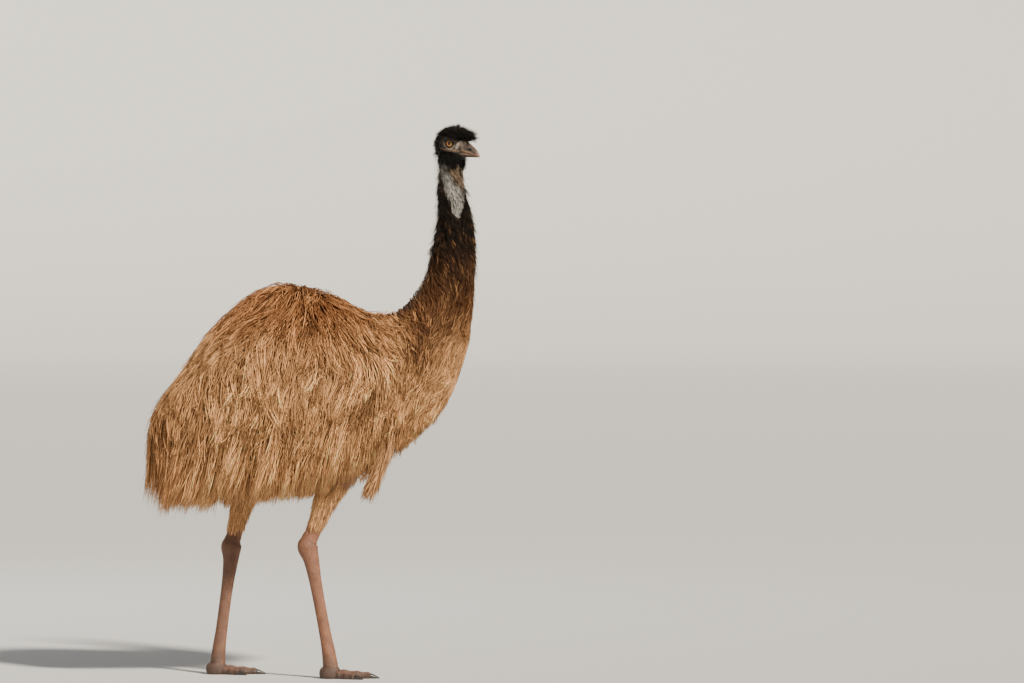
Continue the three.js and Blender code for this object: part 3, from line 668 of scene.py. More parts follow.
def courses(u, phi, length, rise, sink, sweep):
    """Points down the course of each tuft, and the normals there; sweep turns its fall sideways."""
    u, phi = u.copy(), phi.copy()
    free = np.zeros(len(u), bool)
    paths, normals = [], []
    at = normal = None
    for i in range(STEPS + 1):
        s = i / STEPS
        height = -sink + (rise + sink) * math.sin(math.pi / 2 * min(s / 0.5, 1))
        surface, along_u, along_phi, outward = trunk_frame(u, phi)
        if i == 0:
            at, normal = surface + outward * height[:, None], outward
        held = ~free
        at = np.where(held[:, None], surface + outward * height[:, None], at)
        normal = np.where(held[:, None], outward, normal)
        along = lie(u, phi, surface)
        flat = along - normal * (along * normal).sum(1, keepdims=True)
        flat += np.cross(normal, flat) * sweep[:, None]
        # Loose feathers hang straighter, most of all at the rump's end
        upright = 1 - 0.8 * blend(-0.36, -0.42, surface[:, 0] - SHIFT.x)
        loose = along * np.stack([upright, np.full(len(u), 0.25), np.ones(len(u))], 1)
        along = unit(np.where(free[:, None], loose, flat))
        paths.append(at.copy())
        normals.append(normal.copy())
        x = at[:, 0] - SHIFT.x
        free |= ((normal[:, 2] < np.where(x > 0.33, -0.5, -0.12)) & (i > 2)) | (u < 0.05)
        step = length / STEPS
        a, b, c = (along_u**2).sum(1), (along_u * along_phi).sum(1), (along_phi**2).sum(1)
        p, q = (along * along_u).sum(1) * step, (along * along_phi).sum(1) * step
        det = np.maximum(a * c - b * b, 1e-9)
        u = np.where(free, u, np.clip(u + (p * c - q * b) / det, 0.0, STATIONS))
        phi = np.where(free, phi, phi + (q * a - p * b) / det)
        at = np.where(free[:, None], at + along * step[:, None], at)
    return np.stack(paths, 1), np.stack(normals, 1)


def roots(count, u_low, u_high, density):
    """Evenly spread roots on the trunk; density gives tufts for each square metre, up to a scale."""
    k = np.arange(count * 30)
    golden = 0.7548776662466927, 0.5698402909980532
    u = u_low + (u_high - u_low) * ((0.5 + golden[0] * k) % 1)
    phi = 2 * np.pi * ((0.5 + golden[1] * k) % 1) - np.pi
    surface, along_u, along_phi, outward = trunk_frame(u, phi)
    weight = np.linalg.norm(np.cross(along_u, along_phi), axis=1) * density(u, phi, surface, outward)
    keep = rng.random(len(k)) < weight * count / weight.sum()
    return u[keep], phi[keep]


# %% Strands and tufts
def nearest(points, leaders):
    """Index of the nearest leader for each point."""
    tree = kdtree.KDTree(len(leaders))
    for i, p in enumerate(leaders):
        tree.insert(p, i)
    tree.balance()
    return np.array([tree.find(p)[1] for p in points])


def strands(paths, leader_paths, pull):
    """Paths bent towards their leader's path, more so nearer the tip; also each one's leader."""
    leader = nearest(paths[:, 0], leader_paths[:, 0])
    s = np.linspace(0, 1, paths.shape[1])[None, :, None]
    own, shared = paths, leader_paths[leader]
    # The leader's path is moved to start nearer the tuft's own root, so a strand keeps some width
    shared = shared + (own[:, :1] - shared[:, :1]) * 0.15
    return own + (shared - own) * (pull[:, None, None] * s**1.3), leader


def waves(paths, normals, size):
    """Paths with a slow sideways wave, each of its own."""
    count = len(paths)
    s = np.linspace(0, 1, paths.shape[1])[None, :]
    across = unit(np.cross(normals, np.gradient(paths, axis=1)))
    phase, turns = rng.random((2, count, 1))
    wave = np.sin(2 * np.pi * (phase + s * (0.6 + 1.2 * turns))) - np.sin(2 * np.pi * phase)
    drift = rng.normal(0, 0.7, (count, 1)) * s
    return paths + across * (size * s * (wave + drift))[..., None]


THICK = 0.42  # height of a tuft for its width
RINGS = {  # where a tuft's rings stand along it and how wide they are, as shares, by their number
    4: np.array([(0.0, 0.28, 0.56, 0.82), (0.55, 1.0, 0.9, 0.55)]),
    3: np.array([(0.0, 0.38, 0.76), (0.60, 1.0, 0.65)]),
    2: np.array([(0.0, 0.55), (0.75, 0.9)]),
}


def tuft_mesh(name, paths, normals, width, tint, place_uv, made_of, rings=3, tip=1.25, root=0.45):
    """One mesh of closed three-sided tufts along paths, coloured from a root darkened with painted shade to
    a lighter tip, which is partly the feathers' pale ends and partly painted highlight.
    """
    count, steps = paths.shape[:2]
    ring_at, ring_width = RINGS[rings]
    corners, last = 3 * rings + 1, 3 * (rings - 1)
    where = np.append(ring_at, 1.0) * (steps - 1)
    low = np.minimum(where.astype(int), steps - 2)
    share = (where - low)[None, :, None]
    at = paths[:, low] * (1 - share) + paths[:, low + 1] * share
    out = unit(normals[:, low] * (1 - share) + normals[:, low + 1] * share)
    along = unit(np.gradient(at, axis=1))
    across = unit(np.cross(out, along))
    up = np.cross(along, across)
    half = (width[:, None] * ring_width)[..., None] / 2
    ring, across, up = at[:, :rings], across[:, :rings], up[:, :rings]
    sides = np.stack([ring + across * half, ring + up * half * 2 * THICK, ring - across * half], 2)
    points = np.concatenate([sides.reshape(count, 3 * rings, 3), at[:, rings:]], 1)
    faces = [(0, 2, 1)]
    for r in range(rings - 1):
        for j in range(3):
            a, b = 3 * r + j, 3 * r + (j + 1) % 3
            faces += [(a, b, b + 3), (a, b + 3, a + 3)]
    faces += [(last + j, last + (j + 1) % 3, last + 3) for j in range(3)]
    faces = (np.array(faces)[None] + corners * np.arange(count)[:, None, None]).reshape(-1, 3)
    made = mesh_of(name, points.reshape(-1, 3), faces, made_of)
    level = np.append(np.repeat(ring_at, 3), 1.0)
    base = np.broadcast_to(np.asarray(root, float), (count,))[:, None]
    # Painted shade: the root end is darkened as if shaded by the tufts over it; the tip is lightened, partly
    # pale feather ends and partly painted highlight
    tone = base + (1 - base) * blend(0.0, 0.6, level) + (tip - 1) * blend(0.5, 1.0, level)
    # Painted highlight and shade: the outward ridge corner of each ring is lighter, the two side corners
    # darker
    crest = np.append(np.tile((0.90, 1.10, 0.90), rings), 1.0)
    colours = tint[:, None, :] * (tone * crest)[..., None]
    store(made, "tint", np.clip(colours.reshape(-1, 3), 0, 1))
    # Bake layout: each tuft is a small patch at its root's own place
    patch = np.stack([np.append(np.tile((0.0, 0.5, 1.0), rings), 0.5), level], 1) * 0.003
    uv = (place_uv[:, None, :] + patch[None]).reshape(-1, 2)
    layer = made.data.uv_layers.new(name="OFBake")
    layer.data.foreach_set("uv", uv[faces.ravel()].astype(np.float32).ravel())
    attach(made, "root")
    return made


def plumage_material(name, roughness):
    made, tree, shader = material(name, roughness, tint="tint", specular=0.10)
    barbs = noise(tree, 260, 3, (1, 1, 0.22))
    tone(tree, shader, ramp(tree, barbs, [(0.3, grey(0.78)), (0.7, (1.16, 1.14, 1.10))]))
    return made


body_feather = plumage_material("body feathers", 0.66)
neck_feather = plumage_material("neck feathers", 0.55)
crown_hair = plumage_material("crown hair", 0.55)


def trunk_uv(u, phi):
    """Place of a root on the unwrapped trunk."""
    wrapped = (phi + np.pi) % (2 * np.pi) / (2 * np.pi)
    return np.stack([0.005 + 0.985 * u / STATIONS, 0.2 + 0.79 * wrapped], 1)


# %% Plumage of the body
def body_density(u, phi, surface, outward):
    under = blend(-0.25, -0.55, outward[:, 2]) * blend(0.36, 0.30, surface[:, 0] - SHIFT.x)
    top = blend(0.80, 0.97, outward[:, 2])
    return (1.0 - 0.82 * under) * (1 + 0.8 * blend(9.5, 11, u)) * (1 + 0.9 * top)


# Length of the plumage at each row of the trunk, as a share of that on the flank
LENGTH_SHARES = np.array([.8, .8, .88, 1, 1, 1, 1, 1, 1, .98, .95, .95, .89, .86, .8, .7, .66, .64, .6, .5])


def body_lengths(u, phi, surface, outward):
    size = spline(LENGTH_SHARES, u)
    top = blend(0.80, 0.97, outward[:, 2])
    length = 0.150 * size * rng.uniform(0.62, 1.12, len(u)) * (1 - 0.42 * top)
    length *= 1 - 0.25 * blend(8.5, 10.5, u)
    reach = surface[:, 2] - np.interp(surface[:, 0] - SHIFT.x, *HEM.T)
    hangs = (surface[:, 0] - SHIFT.x < 0.30) & (reach > 0.03) & (reach < 0.33)
    hanging = np.minimum(np.maximum(length, reach * rng.uniform(0.72, 1.07, len(u))), 0.33)
    hanging = np.where(rng.random(len(u)) < 0.62, hanging, length)
    length = np.where(hangs, np.minimum(hanging, reach * 1.07), length)
    return np.where(outward[:, 2] < -0.45, np.minimum(length, np.maximum(reach, 0.03)), length)


BODY_TUFTS = 46000
STRANDS = 5600
PIECE_TUFTS = 9000  # at 22 triangles each, a piece stays under 200,000
u, phi = roots(BODY_TUFTS, 0.0, 11.5, body_density)
surface, _, _, outward = trunk_frame(u, phi)
length = body_lengths(u, phi, surface, outward)
coat = spline(TRUNK, u)[:, 5]
paths, normals = courses(u, phi, length, coat * rng.uniform(0.35, 1.0, len(u)), 0.004,
                         rng.normal(0, 0.16, len(u)))

leader_u, leader_phi = roots(STRANDS, 0.0, 11.5, body_density)
leader_at, _, _, leader_out = trunk_frame(leader_u, leader_phi)
leader_paths, leader_normals = courses(
    leader_u, leader_phi, body_lengths(leader_u, leader_phi, leader_at, leader_out) * 1.1,
    spline(TRUNK, leader_u)[:, 5] * rng.uniform(0.5, 1.12, len(leader_u)), 0.004,
    rng.normal(0, 0.30, len(leader_u)))
# Strands curl: their lower halves sway sideways and their tips lift a little
leader_paths = waves(leader_paths, leader_normals, 0.0075)
lift = rng.gamma(1.6, 0.0030, len(leader_u)) * blend(0.985, 0.9, leader_out[:, 2])
lift = np.minimum(lift, 0.014)[:, None] * np.linspace(0, 1, STEPS + 1)[None] ** 3
leader_paths += leader_normals * lift[..., None]
paths, leader = strands(paths, leader_paths, rng.uniform(0.45, 0.95, len(u)))
paths = waves(paths, normals, 0.0028)
strand_tone = rng.uniform(0, 1, len(leader_u))
spread = np.clip(0.50 * rng.random(len(u)) + 0.58 * strand_tone[leader], 0, 1)
tint = plumage_tint(surface, spread) * rng.uniform(0.68, 1.25, (len(u), 1))
tint *= (0.46 + 0.90 * strand_tone[leader])[:, None]
width = rng.uniform(0.0024, 0.0042, len(u)) * (1 - 0.25 * blend(8.5, 11, u))
upward = outward[:, 2]
# Painted shade at the tufts' roots: darkest on the trunk's sides, less dark on the back and the belly
painted_root_shade = 0.08 + 0.42 * blend(0.80, 0.97, upward) + 0.45 * blend(-0.15, -0.55, upward)

order = np.argsort(u)
uv = trunk_uv(u, phi)
for k, part in enumerate(np.array_split(order, math.ceil(len(order) / PIECE_TUFTS))):
    made = tuft_mesh(f"plumage_{k + 1}", paths[part], normals[part], width[part], tint[part], uv[part],
                     body_feather, rings=4, root=painted_root_shade[part], tip=1.65)
print("body:", len(u), "tufts in", len(leader_u), "strands")


# %% Plumage of the neck
def neck_density(u, phi, surface, outward):
    # The patch has a ragged edge
    near = surface + rng.normal(0, 0.0045, surface.shape)
    covered = 1 - 0.985 * blend(0.15, 0.7, bare_patch(near))
    return covered * blend(10.0, 11.5, u) * (1 + 0.6 * blend(15, 18, u))


NECK_TUFTS, NECK_STRANDS, PATCH_HAIRS = 16000, 1900, 4600
NECK_FROM, NECK_TO = 10.2, STATIONS - 0.15
u, phi = roots(NECK_TUFTS, NECK_FROM, NECK_TO, neck_density)
surface, _, _, outward = trunk_frame(u, phi)
length = 0.090 - 0.056 * blend(10.8, 15.0, u) - 0.015 * blend(15.5, 17.5, u)
length *= rng.uniform(0.65, 1.3, len(u))
coat = spline(TRUNK, u)[:, 5]
beside_patch = np.maximum(pale_patch(surface, 0.016), tan_patch(surface))
stands = coat * rng.uniform(0.25, 1.15, len(u)) * (1 - 0.8 * beside_patch)
length *= 1 - 0.45 * beside_patch
paths, normals = courses(u, phi, length, stands, 0.002, rng.normal(0, 0.24, len(u)))
leader_u, leader_phi = roots(NECK_STRANDS, NECK_FROM, NECK_TO, neck_density)
leader_paths, leader_normals = courses(
    leader_u, leader_phi, 0.088 - 0.050 * blend(10.8, 15.0, leader_u),
    spline(TRUNK, leader_u)[:, 5] * rng.uniform(0.4, 1.2, len(leader_u)), 0.002,
    rng.normal(0, 0.34, len(leader_u)))
leader_paths = waves(leader_paths, leader_normals, 0.004)
paths, leader = strands(paths, leader_paths, rng.uniform(0.25, 0.85, len(u)))
# Hair-like tips lift off the neck, most of all down the nape and the throat
edge = 0.35 + 0.65 * np.abs(np.cos(phi)) ** 2
lift = rng.gamma(1.5, 0.0042, len(u)) * blend(11, 14, u) * edge
spikes = rng.uniform(0.008, 0.020, len(u)) * (rng.random(len(u)) < 0.16)
lift += spikes * blend(0.5, 0.9, np.cos(phi)) * blend(12, 14, u)
lift = np.minimum(lift, 0.024)
paths += normals * (lift[:, None] * np.linspace(0, 1, STEPS + 1)[None] ** 1.6)[..., None]
paths = waves(paths, normals, 0.0028)
strand_tone = rng.random(len(leader_u))
spread = np.clip(0.40 * rng.random(len(u)) + 0.66 * strand_tone[leader], 0, 1)
tint = plumage_tint(surface, spread) * rng.uniform(0.6, 1.35, (len(u), 1))
width = rng.uniform(0.0015, 0.0027, len(u)) * (1 + 0.8 * blend(13, 10.5, u))
uv = trunk_uv(u, phi)
order = np.argsort(u)
for k, part in enumerate(np.array_split(order, 2)):
    made = tuft_mesh(f"neck_feathers_{k + 1}", paths[part], normals[part], width[part], tint[part], uv[part],
                     neck_feather, tip=1.3, root=0.15)


def hair_density(u, phi, surface, outward):
    return blend(0.1, 0.5, bare_patch(surface))


# Short sparse hairs over the pale and tan skin
u, phi = roots(PATCH_HAIRS, 14.2, STATIONS - 0.4, hair_density)
surface, _, _, outward = trunk_frame(u, phi)
tan = tan_patch(surface)
length = rng.uniform(0.007, 0.013, len(u)) * (1 + 0.5 * tan)
paths, normals = courses(u, phi, length, rng.uniform(0.001, 0.004, len(u)), 0.001,
                         rng.normal(0, 0.35, len(u)))
pale = mix(np.tile(PATCH_PALE, (len(u), 1)) * 0.9, PATCH_TAN, tan)
tint = mix(pale, NECK_BLACK, (rng.random(len(u)) < 0.42 - 0.12 * tan))
made = tuft_mesh("patch_hairs", paths, normals, rng.uniform(0.0009, 0.0016, len(u)), tint, trunk_uv(u, phi),
                 neck_feather, rings=2, tip=1.0, root=0.8)
print("neck: feathers and patch hairs made")

# %% [markdown]
# The crown is a mop of short black hair, steep in the middle and low at the rim, where it shades the eyes
# and the root of the bill. Very short bristles cover the cheeks and the throat, and leave the skin in
# sight.


# %% Crown hair and bristles
def head_world(points):
    turn, shift = np.array(HEAD_PLACE.to_3x3()), np.array(HEAD_PLACE.translation)
    return points @ turn.T + shift


def head_turn(vectors):
    return vectors @ np.array(HEAD_PLACE.to_3x3()).T


def grown(root, heading, length, droop, out):
    """Paths of hairs that leave their roots along a heading and droop."""
    s = np.linspace(0, 1, STEPS + 1)[None, :, None]
    size = length[:, None, None]
    paths = root[:, None] + heading[:, None] * size * s
    paths[..., 2] -= (droop[:, None] * length[:, None] * s[..., 0] ** 2)
    return paths, np.repeat(out[:, None], STEPS + 1, 1)


def crown_hairs(count):
    """Roots, headings, lengths and outward directions of crown hairs, in the head's frame."""
    ring = np.sqrt(rng.random(count)) * 1.04
    angle = rng.uniform(0, 2 * np.pi, count)
    out = np.stack([np.cos(angle), np.sin(angle), np.zeros(count)], 1)
    root = np.stack([0.040 * ring * out[:, 0] + 0.001, 0.0285 * ring * out[:, 1],
                     0.0345 - 0.0165 * ring**2.2 - 0.001], 1)
    tilt = np.radians(np.clip(86 - 58 * ring + rng.normal(0, 17, count), 0, 110))
    swirl = angle + rng.normal(0, 0.5, count)
    heading = np.stack([np.cos(swirl) * np.cos(tilt), np.sin(swirl) * np.cos(tilt), np.sin(tilt)], 1)
    heading[:, 0] = np.where(heading[:, 0] < 0, 0.72, 1.0) * heading[:, 0]
    length = (0.026 + 0.013 * ring + 0.006 * np.clip(out[:, 0], 0, 1)) * rng.uniform(0.65, 1.22, count)
    return root, heading, length, out, ring


CROWN_HAIRS, CROWN_CLUMPS, BRISTLES = 3400, 190, 3600
root, heading, length, out, ring = crown_hairs(CROWN_HAIRS)
paths, normals = grown(root, heading, length, rng.uniform(0.1, 0.5, len(root)), unit(out + (0, 0, 0.6)))
clump_root, clump_heading, clump_length, clump_out, _ = crown_hairs(CROWN_CLUMPS)
clump_paths, _ = grown(clump_root, clump_heading, clump_length * 1.12, rng.uniform(0.0, 0.45, CROWN_CLUMPS),
                       unit(clump_out + (0, 0, 0.6)))
paths, _ = strands(paths, clump_paths, rng.uniform(0.3, 0.95, len(root)))
tint = np.tile(BLACK, (len(root), 1)) * rng.uniform(0.7, 2.2, (len(root), 1))
tint = mix(tint, NECK_BROWN, 0.35 * (rng.random(len(root)) < 0.08))
paths, normals = head_world(paths), head_turn(normals)
paths = waves(paths, normals, 0.004)
uv = np.stack([0.30 + 0.09 * ring * out[:, 0], 0.095 + 0.085 * ring * out[:, 1]], 1)
made = tuft_mesh("crown", paths, normals, rng.uniform(0.0010, 0.0021, len(root)), tint, uv, crown_hair,
                 tip=1.1, root=0.7)

# Bristles grow on the skull's own surface behind and below the eyes
v = rng.uniform(0.25, 7.2, BRISTLES)
angle = rng.uniform(-np.pi, np.pi, BRISTLES)
x, top, bottom, half = spline(SKULL, v).T
root = np.stack([x, half * np.cos(angle), (top + bottom) / 2 + (top - bottom) / 2 * np.sin(angle)], 1)
out = unit(np.stack([np.full(BRISTLES, -0.25), np.cos(angle), np.sin(angle)], 1))
clear = np.hypot(root[:, 0] / 0.0185, root[:, 2] / 0.0165) > 1.0
clear &= np.hypot((root[:, 0] + 0.0285) / 0.0085, (root[:, 2] + 0.011) / 0.010) > 1.0
share = 0.22 + 0.8 * blend(-0.006, -0.034, root[:, 0]) + blend(-0.022, -0.034, root[:, 2])
clear &= rng.random(BRISTLES) < share
root, out = root[clear], out[clear]
count = len(root)
heading = unit(np.array((-0.85, 0, -0.35)) + 0.34 * out + rng.normal(0, 0.14, (count, 3)))
throat = blend(-0.022, -0.036, root[:, 2])
length = (0.0060 + 0.0085 * blend(-0.01, -0.045, root[:, 0]) + 0.012 * throat) * rng.uniform(0.6, 1.3, count)
paths, normals = grown(root - out * 0.0006, heading, length, rng.uniform(0, 0.2, count), out)
tint = np.tile(BLACK, (count, 1)) * (1 + rng.uniform(0.0, 4.0, (count, 1)) * (1 - throat)[:, None])
uv = np.stack([0.45 + 0.25 * (root[:, 0] + 0.06) / 0.12,
               0.01 + 0.17 * (angle[clear] + np.pi) / (2 * np.pi)], 1)
made = tuft_mesh("face_bristles", head_world(paths), head_turn(normals), rng.uniform(0.0007, 0.0012, count),
                 tint, uv, crown_hair, rings=2, tip=1.0, root=0.8)
print("crown and face hairs made")


# %% Feathers of the thighs and wings
def limb_tufts(name, rows, count, share, length, lift, width, color, spot, lean, spray):
    """Tufts that hang down a limb from roots between two shares of its length."""
    rows = np.asarray(rows, float)
    t = rng.uniform(share[0], share[1], count) * (len(rows) - 1)
    line = spline(rows, t)
    angle = rng.uniform(0, 2 * np.pi, count)
    out = np.stack([np.cos(angle), np.sin(angle), np.zeros(count)], 1)
    root = line[:, :3] + out * np.stack([line[:, 3], line[:, 4], np.zeros(count)], 1) * 0.90
    heading = unit(np.array(lean) + spray * out + rng.normal(0, 0.07, (count, 3)))
    size = rng.uniform(length[0], length[1], count)
    paths, normals = grown(root, heading, size, np.full(count, lift), out)
    paths = waves(paths, normals, 0.003)
    tint = np.tile(color, (count, 1)) * rng.uniform(0.6, 1.35, (count, 1))
    uv = np.stack([spot[0] + 0.04 * t / (len(rows) - 1), spot[1] + 0.16 * angle / (2 * np.pi)], 1)
    made = tuft_mesh(name, paths, normals, rng.uniform(*width, count), tint, uv, body_feather)
    return made


THIGH_TAN, WING_TAN = (0.60, 0.330, 0.155), (0.50, 0.270, 0.130)
for k, (leg_name, leg) in enumerate(LEGS.items()):
    (hx, hz), (kx, kz) = leg[2:]
    limb_tufts(f"thigh_feathers_{leg_name}", thigh_rows(leg), 2600, (0.30, 0.95), (0.036, 0.066), 0.0,
               (0.0022, 0.0038), THIGH_TAN, (0.01 + 0.05 * k, 0.015),
               (-(kx - hx) / (kz - hz), 0, -1), -0.02)
for k, (wing_name, side) in enumerate((("right", -1), ("left", 1))):
    limb_tufts(f"wing_feathers_{wing_name}", wing_rows(side), 900, (0.15, 1.0), (0.055, 0.100), 0.1,
               (0.0030, 0.0050), WING_TAN, (0.12 + 0.05 * k, 0.015), (-0.45, 0, -1), 0.12)

# %% [markdown]
# ## Bill and eyes
#
# The bill is a loft with a flat cut edge and a rounded ridge, as the horn of the real one is. Its two
# halves meet along the gape. Each eye is a ball with a slightly raised front. A distance stored at each
# point tells the material where the pupil, the iris and the dark rim are, so the eye needs no picture.

# %% Bill
UPPER_BILL = np.array([(0.020, 0.024, -0.021, 0.024), (0.035, 0.020, -0.0205, 0.0225),
                       (0.048, 0.0135, -0.0205, 0.019), (0.062, 0.007, -0.022, 0.0145),
                       (0.076, -0.0005, -0.024, 0.0105), (0.088, -0.0085, -0.026, 0.0075),
                       (0.096, -0.016, -0.0275, 0.0045), (0.100, -0.0215, -0.0275, 0.002)])
LOWER_BILL = np.array([(0.015, -0.021, -0.040, 0.022), (0.035, -0.0212, -0.038, 0.020),
                       (0.055, -0.0223, -0.0355, 0.0155), (0.072, -0.0242, -0.0325, 0.0105),
                       (0.086, -0.0266, -0.0305, 0.0065), (0.092, -0.0276, -0.0298, 0.0035)])


def bill_loft(rows, upper):
    angle = np.linspace(0, np.pi, 28)
    rings = []
    for u in np.linspace(0, len(rows) - 1, 70):
        x, top, bottom, half = spline(rows, u)
        edge, crest = (bottom, top) if upper else (top, bottom)
        # A low ridge runs down the middle, with a groove at each side where the nostril lies
        groove = 1 - 0.10 * np.exp(-((np.abs(angle - np.pi / 2) - 0.62) / 0.22) ** 2) * upper
        arch = np.sin(angle) ** 0.8
        rim = np.stack([np.full(28, x), half * np.cos(angle) * groove,
                        edge + (crest - edge) * arch * groove], 1)
        inner = np.stack([np.full(12, x), -half * np.cos(np.linspace(0.25, np.pi - 0.25, 12)) * 0.9,
                          np.full(12, edge + 0.12 * (crest - edge))], 1)
        rings.append(np.vstack([rim, inner]))
    return loft(rings)


def bill_material():
    made, tree, shader = material("bill horn", 0.42, tint="tint", specular=0.45, coat=0.12)
    grain = noise(tree, 160, 5, (0.35, 1, 1))
    tone(tree, shader, ramp(tree, grain, [(0.3, grey(0.6)), (0.55, grey(1.0)), (0.8, (1.3, 1.2, 1.1))]))
    bump(tree, shader, noise(tree, 320, 4, (0.4, 1, 1)), 0.35, 0.0006)
    return made


horn = bill_material()
# The pink is the horn of the tip, and is also used for a painted highlight along the ridge
HORN_DARK, HORN_TAN, HORN_PINK_AND_RIDGE_HIGHLIGHT = (0.055, 0.038, 0.030), (0.36, 0.205, 0.120), (0.27, 0.135, 0.095)
for name, rows, upper in (("bill_upper", UPPER_BILL, True), ("bill_lower", LOWER_BILL, False)):
    made = joined(f"{name}_horn", [bill_loft(rows, upper)])
    if upper:
        for side in (-1, 1):
            pit = oval((0.066, side * 0.0112, -0.0080), (0.0070, 0.0034, 0.0024), (0, 0.20, 0))
            cut_out(made, joined("nostril", [pit]))
    local = points_of(made)
    low = np.interp(local[:, 0], rows[:, 0], rows[:, 2])
    high = np.interp(local[:, 0], rows[:, 0], rows[:, 1])
    rise = (local[:, 2] - low) / np.maximum(high - low, 1e-4)
    edge_share = blend(0.35, 0.02, rise) if upper else blend(0.55, 0.98, rise)
    tint = mix(np.tile(HORN_DARK, (len(local), 1)), HORN_TAN, 0.85 * edge_share)
    tint = mix(tint, FACE_HORN_AND_BROW_HIGHLIGHT, 0.8 * blend(0.056, 0.040, local[:, 0]))
    tint = mix(tint, HORN_PINK_AND_RIDGE_HIGHLIGHT, 0.8 * blend(0.084, 0.097, local[:, 0]))
    if upper:
        # Painted highlight: a pink sheen along the ridge above the nostril
        tint = mix(tint, HORN_PINK_AND_RIDGE_HIGHLIGHT, 0.35 * blend(0.80, 0.97, rise) * blend(0.055, 0.070, local[:, 0]))
        # Painted shade: the nostril pit and the horn round it are painted black
        pit_near = np.hypot((local[:, 0] - 0.066) / 0.0085, (local[:, 2] + 0.008) / 0.0034)
        tint = mix(tint, BLACK, blend(1.15, 0.8, pit_near))
    store(made, "tint", tint)
    made.data.transform(HEAD_PLACE)
    made.data.materials.clear()
    made.data.materials.append(horn)
    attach(made, "root")
    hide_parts(name)
print("bill made")


# %% Eyes
def eye_material():
    made, tree, shader = material("eye", 0.25, specular=0.25, coat=0.5)
    shader.inputs["Coat Roughness"].default_value = 0.03
    stored = tree.nodes.new("ShaderNodeAttribute")
    stored.attribute_name = "from_pupil"
    color = ramp(tree, stored.outputs["Fac"], [
        (0.0, (0.002, 0.002, 0.002)), (0.300, (0.002, 0.002, 0.002)), (0.330, (0.34, 0.120, 0.022)),
        (0.44, (0.78, 0.330, 0.060)), (0.60, (0.66, 0.250, 0.042)), (0.68, (0.14, 0.050, 0.016)),
        (0.72, (0.010, 0.008, 0.007)), (1.0, (0.015, 0.013, 0.012))])
    rays = ramp(tree, noise(tree, 900, 3), [(0.3, grey(0.65)), (0.7, grey(1.2))])
    tree.links.new(multiply(tree, color, rays), shader.inputs["Base Color"])
    return made


iris = eye_material()
for name, side in (("right", -1), ("left", 1)):
    mesh = bmesh.new()
    bmesh.ops.create_uvsphere(mesh, u_segments=64, v_segments=48, radius=EYE_RADIUS,
                              matrix=Matrix.Rotation(math.pi / 2, 4, "X"))
    data = bpy.data.meshes.new(f"eyeball_{name}")
    mesh.to_mesh(data)
    made = bpy.data.objects.new(f"eyeball_{name}", data)
    bpy.context.scene.collection.objects.link(made)
    local = points_of(made)
    gaze = np.array((0.16, side * 0.98, 0.0))
    gaze /= np.linalg.norm(gaze)
    away = np.arccos(np.clip(local @ gaze / EYE_RADIUS, -1, 1))
    local *= (1 + 0.045 * blend(0.75, 0.35, away))[:, None]
    data.vertices.foreach_set("co", (local + (0, side * EYE_SIDE, 0)).astype(np.float32).ravel())
    layer = data.attributes.new("from_pupil", "FLOAT", "POINT")
    layer.data.foreach_set("value", np.clip(away, 0, 1).astype(np.float32))
    data.polygons.foreach_set("use_smooth", np.ones(len(data.polygons), bool))
    data.transform(HEAD_PLACE)
    data.materials.append(iris)
    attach(made, "root")
    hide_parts(f"eye_{name}")
print("eyes made")

# %% [markdown]
# ## Shanks, feet and claws
#
# The shank is bare and scaly: a column of broad plates down the front and small round scales elsewhere.
# The plates are raised in the mesh, because they catch the light at the shank's edge, and the small
# scales are only bumps in the finish. Each toe lies flat on the floor on its pads and ends in a blunt
# claw.


# %% Shanks
def leg_material():
    made, tree, shader = material("leg scales", 0.55, tint="tint", specular=0.4)
    place_of = tree.nodes.new("ShaderNodeTexCoord")
    cells = tree.nodes.new("ShaderNodeTexVoronoi")
    cells.feature = "DISTANCE_TO_EDGE"
    cells.inputs["Scale"].default_value = 190
    tree.links.new(place_of.outputs["Object"], cells.inputs["Vector"])
    seams = ramp(tree, cells.outputs["Distance"], [(0.0, grey(0.42)), (0.12, grey(1.0))])
    tone(tree, shader, seams, 0.7)
    dust = noise(tree, 38, 5)
    tone(tree, shader, ramp(tree, dust, [(0.35, grey(0.75)), (0.55, grey(1.0)), (0.75, (1.25, 1.2, 1.1))]))
    bump(tree, shader, cells.outputs["Distance"], 0.7, 0.004)
    return made


scales = leg_material()
SHIN_DARK = (0.085, 0.050, 0.036)


def scaly(made, plates, ruddy):
    """Colour for scaly skin: plates are redder, low parts darker."""
    points = points_of(made)
    tint = mix(np.tile(SHIN_DARK, (len(points), 1)), SHIN_RED, ruddy * blend(0.01, 0.10, points[:, 2]))
    tint = mix(tint, np.array(SHIN_RED) * 1.15, 0.5 * plates)
    store(made, "tint", tint)
    made.data.materials.append(scales)
    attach(made, "root")


def plated(rings, pitch, height, spread=0.95, forward=(1, 0, 0)):
    """Raises overlapping plates on the front of a tube of rings; also how much each point is plate."""
    rings = np.asarray(rings)
    centre = rings.mean(1, keepdims=True)
    run = np.concatenate([[0], np.cumsum(np.linalg.norm(np.diff(centre[:, 0], axis=0), axis=1))])
    out = unit(rings - centre)
    facing = (out * np.array(forward)).sum(2)
    column = blend(math.cos(spread) - 0.08, math.cos(spread) + 0.06, facing)
    bend = 0.35 * pitch * (1 - np.clip(facing, -1, 1)) * 2
    phase = ((run[:, None] + bend) / pitch) % 1
    step = blend(0.0, 0.12, phase) * (1 - 0.45 * phase)
    return rings + out * (height * step * column)[..., None], (step * column)


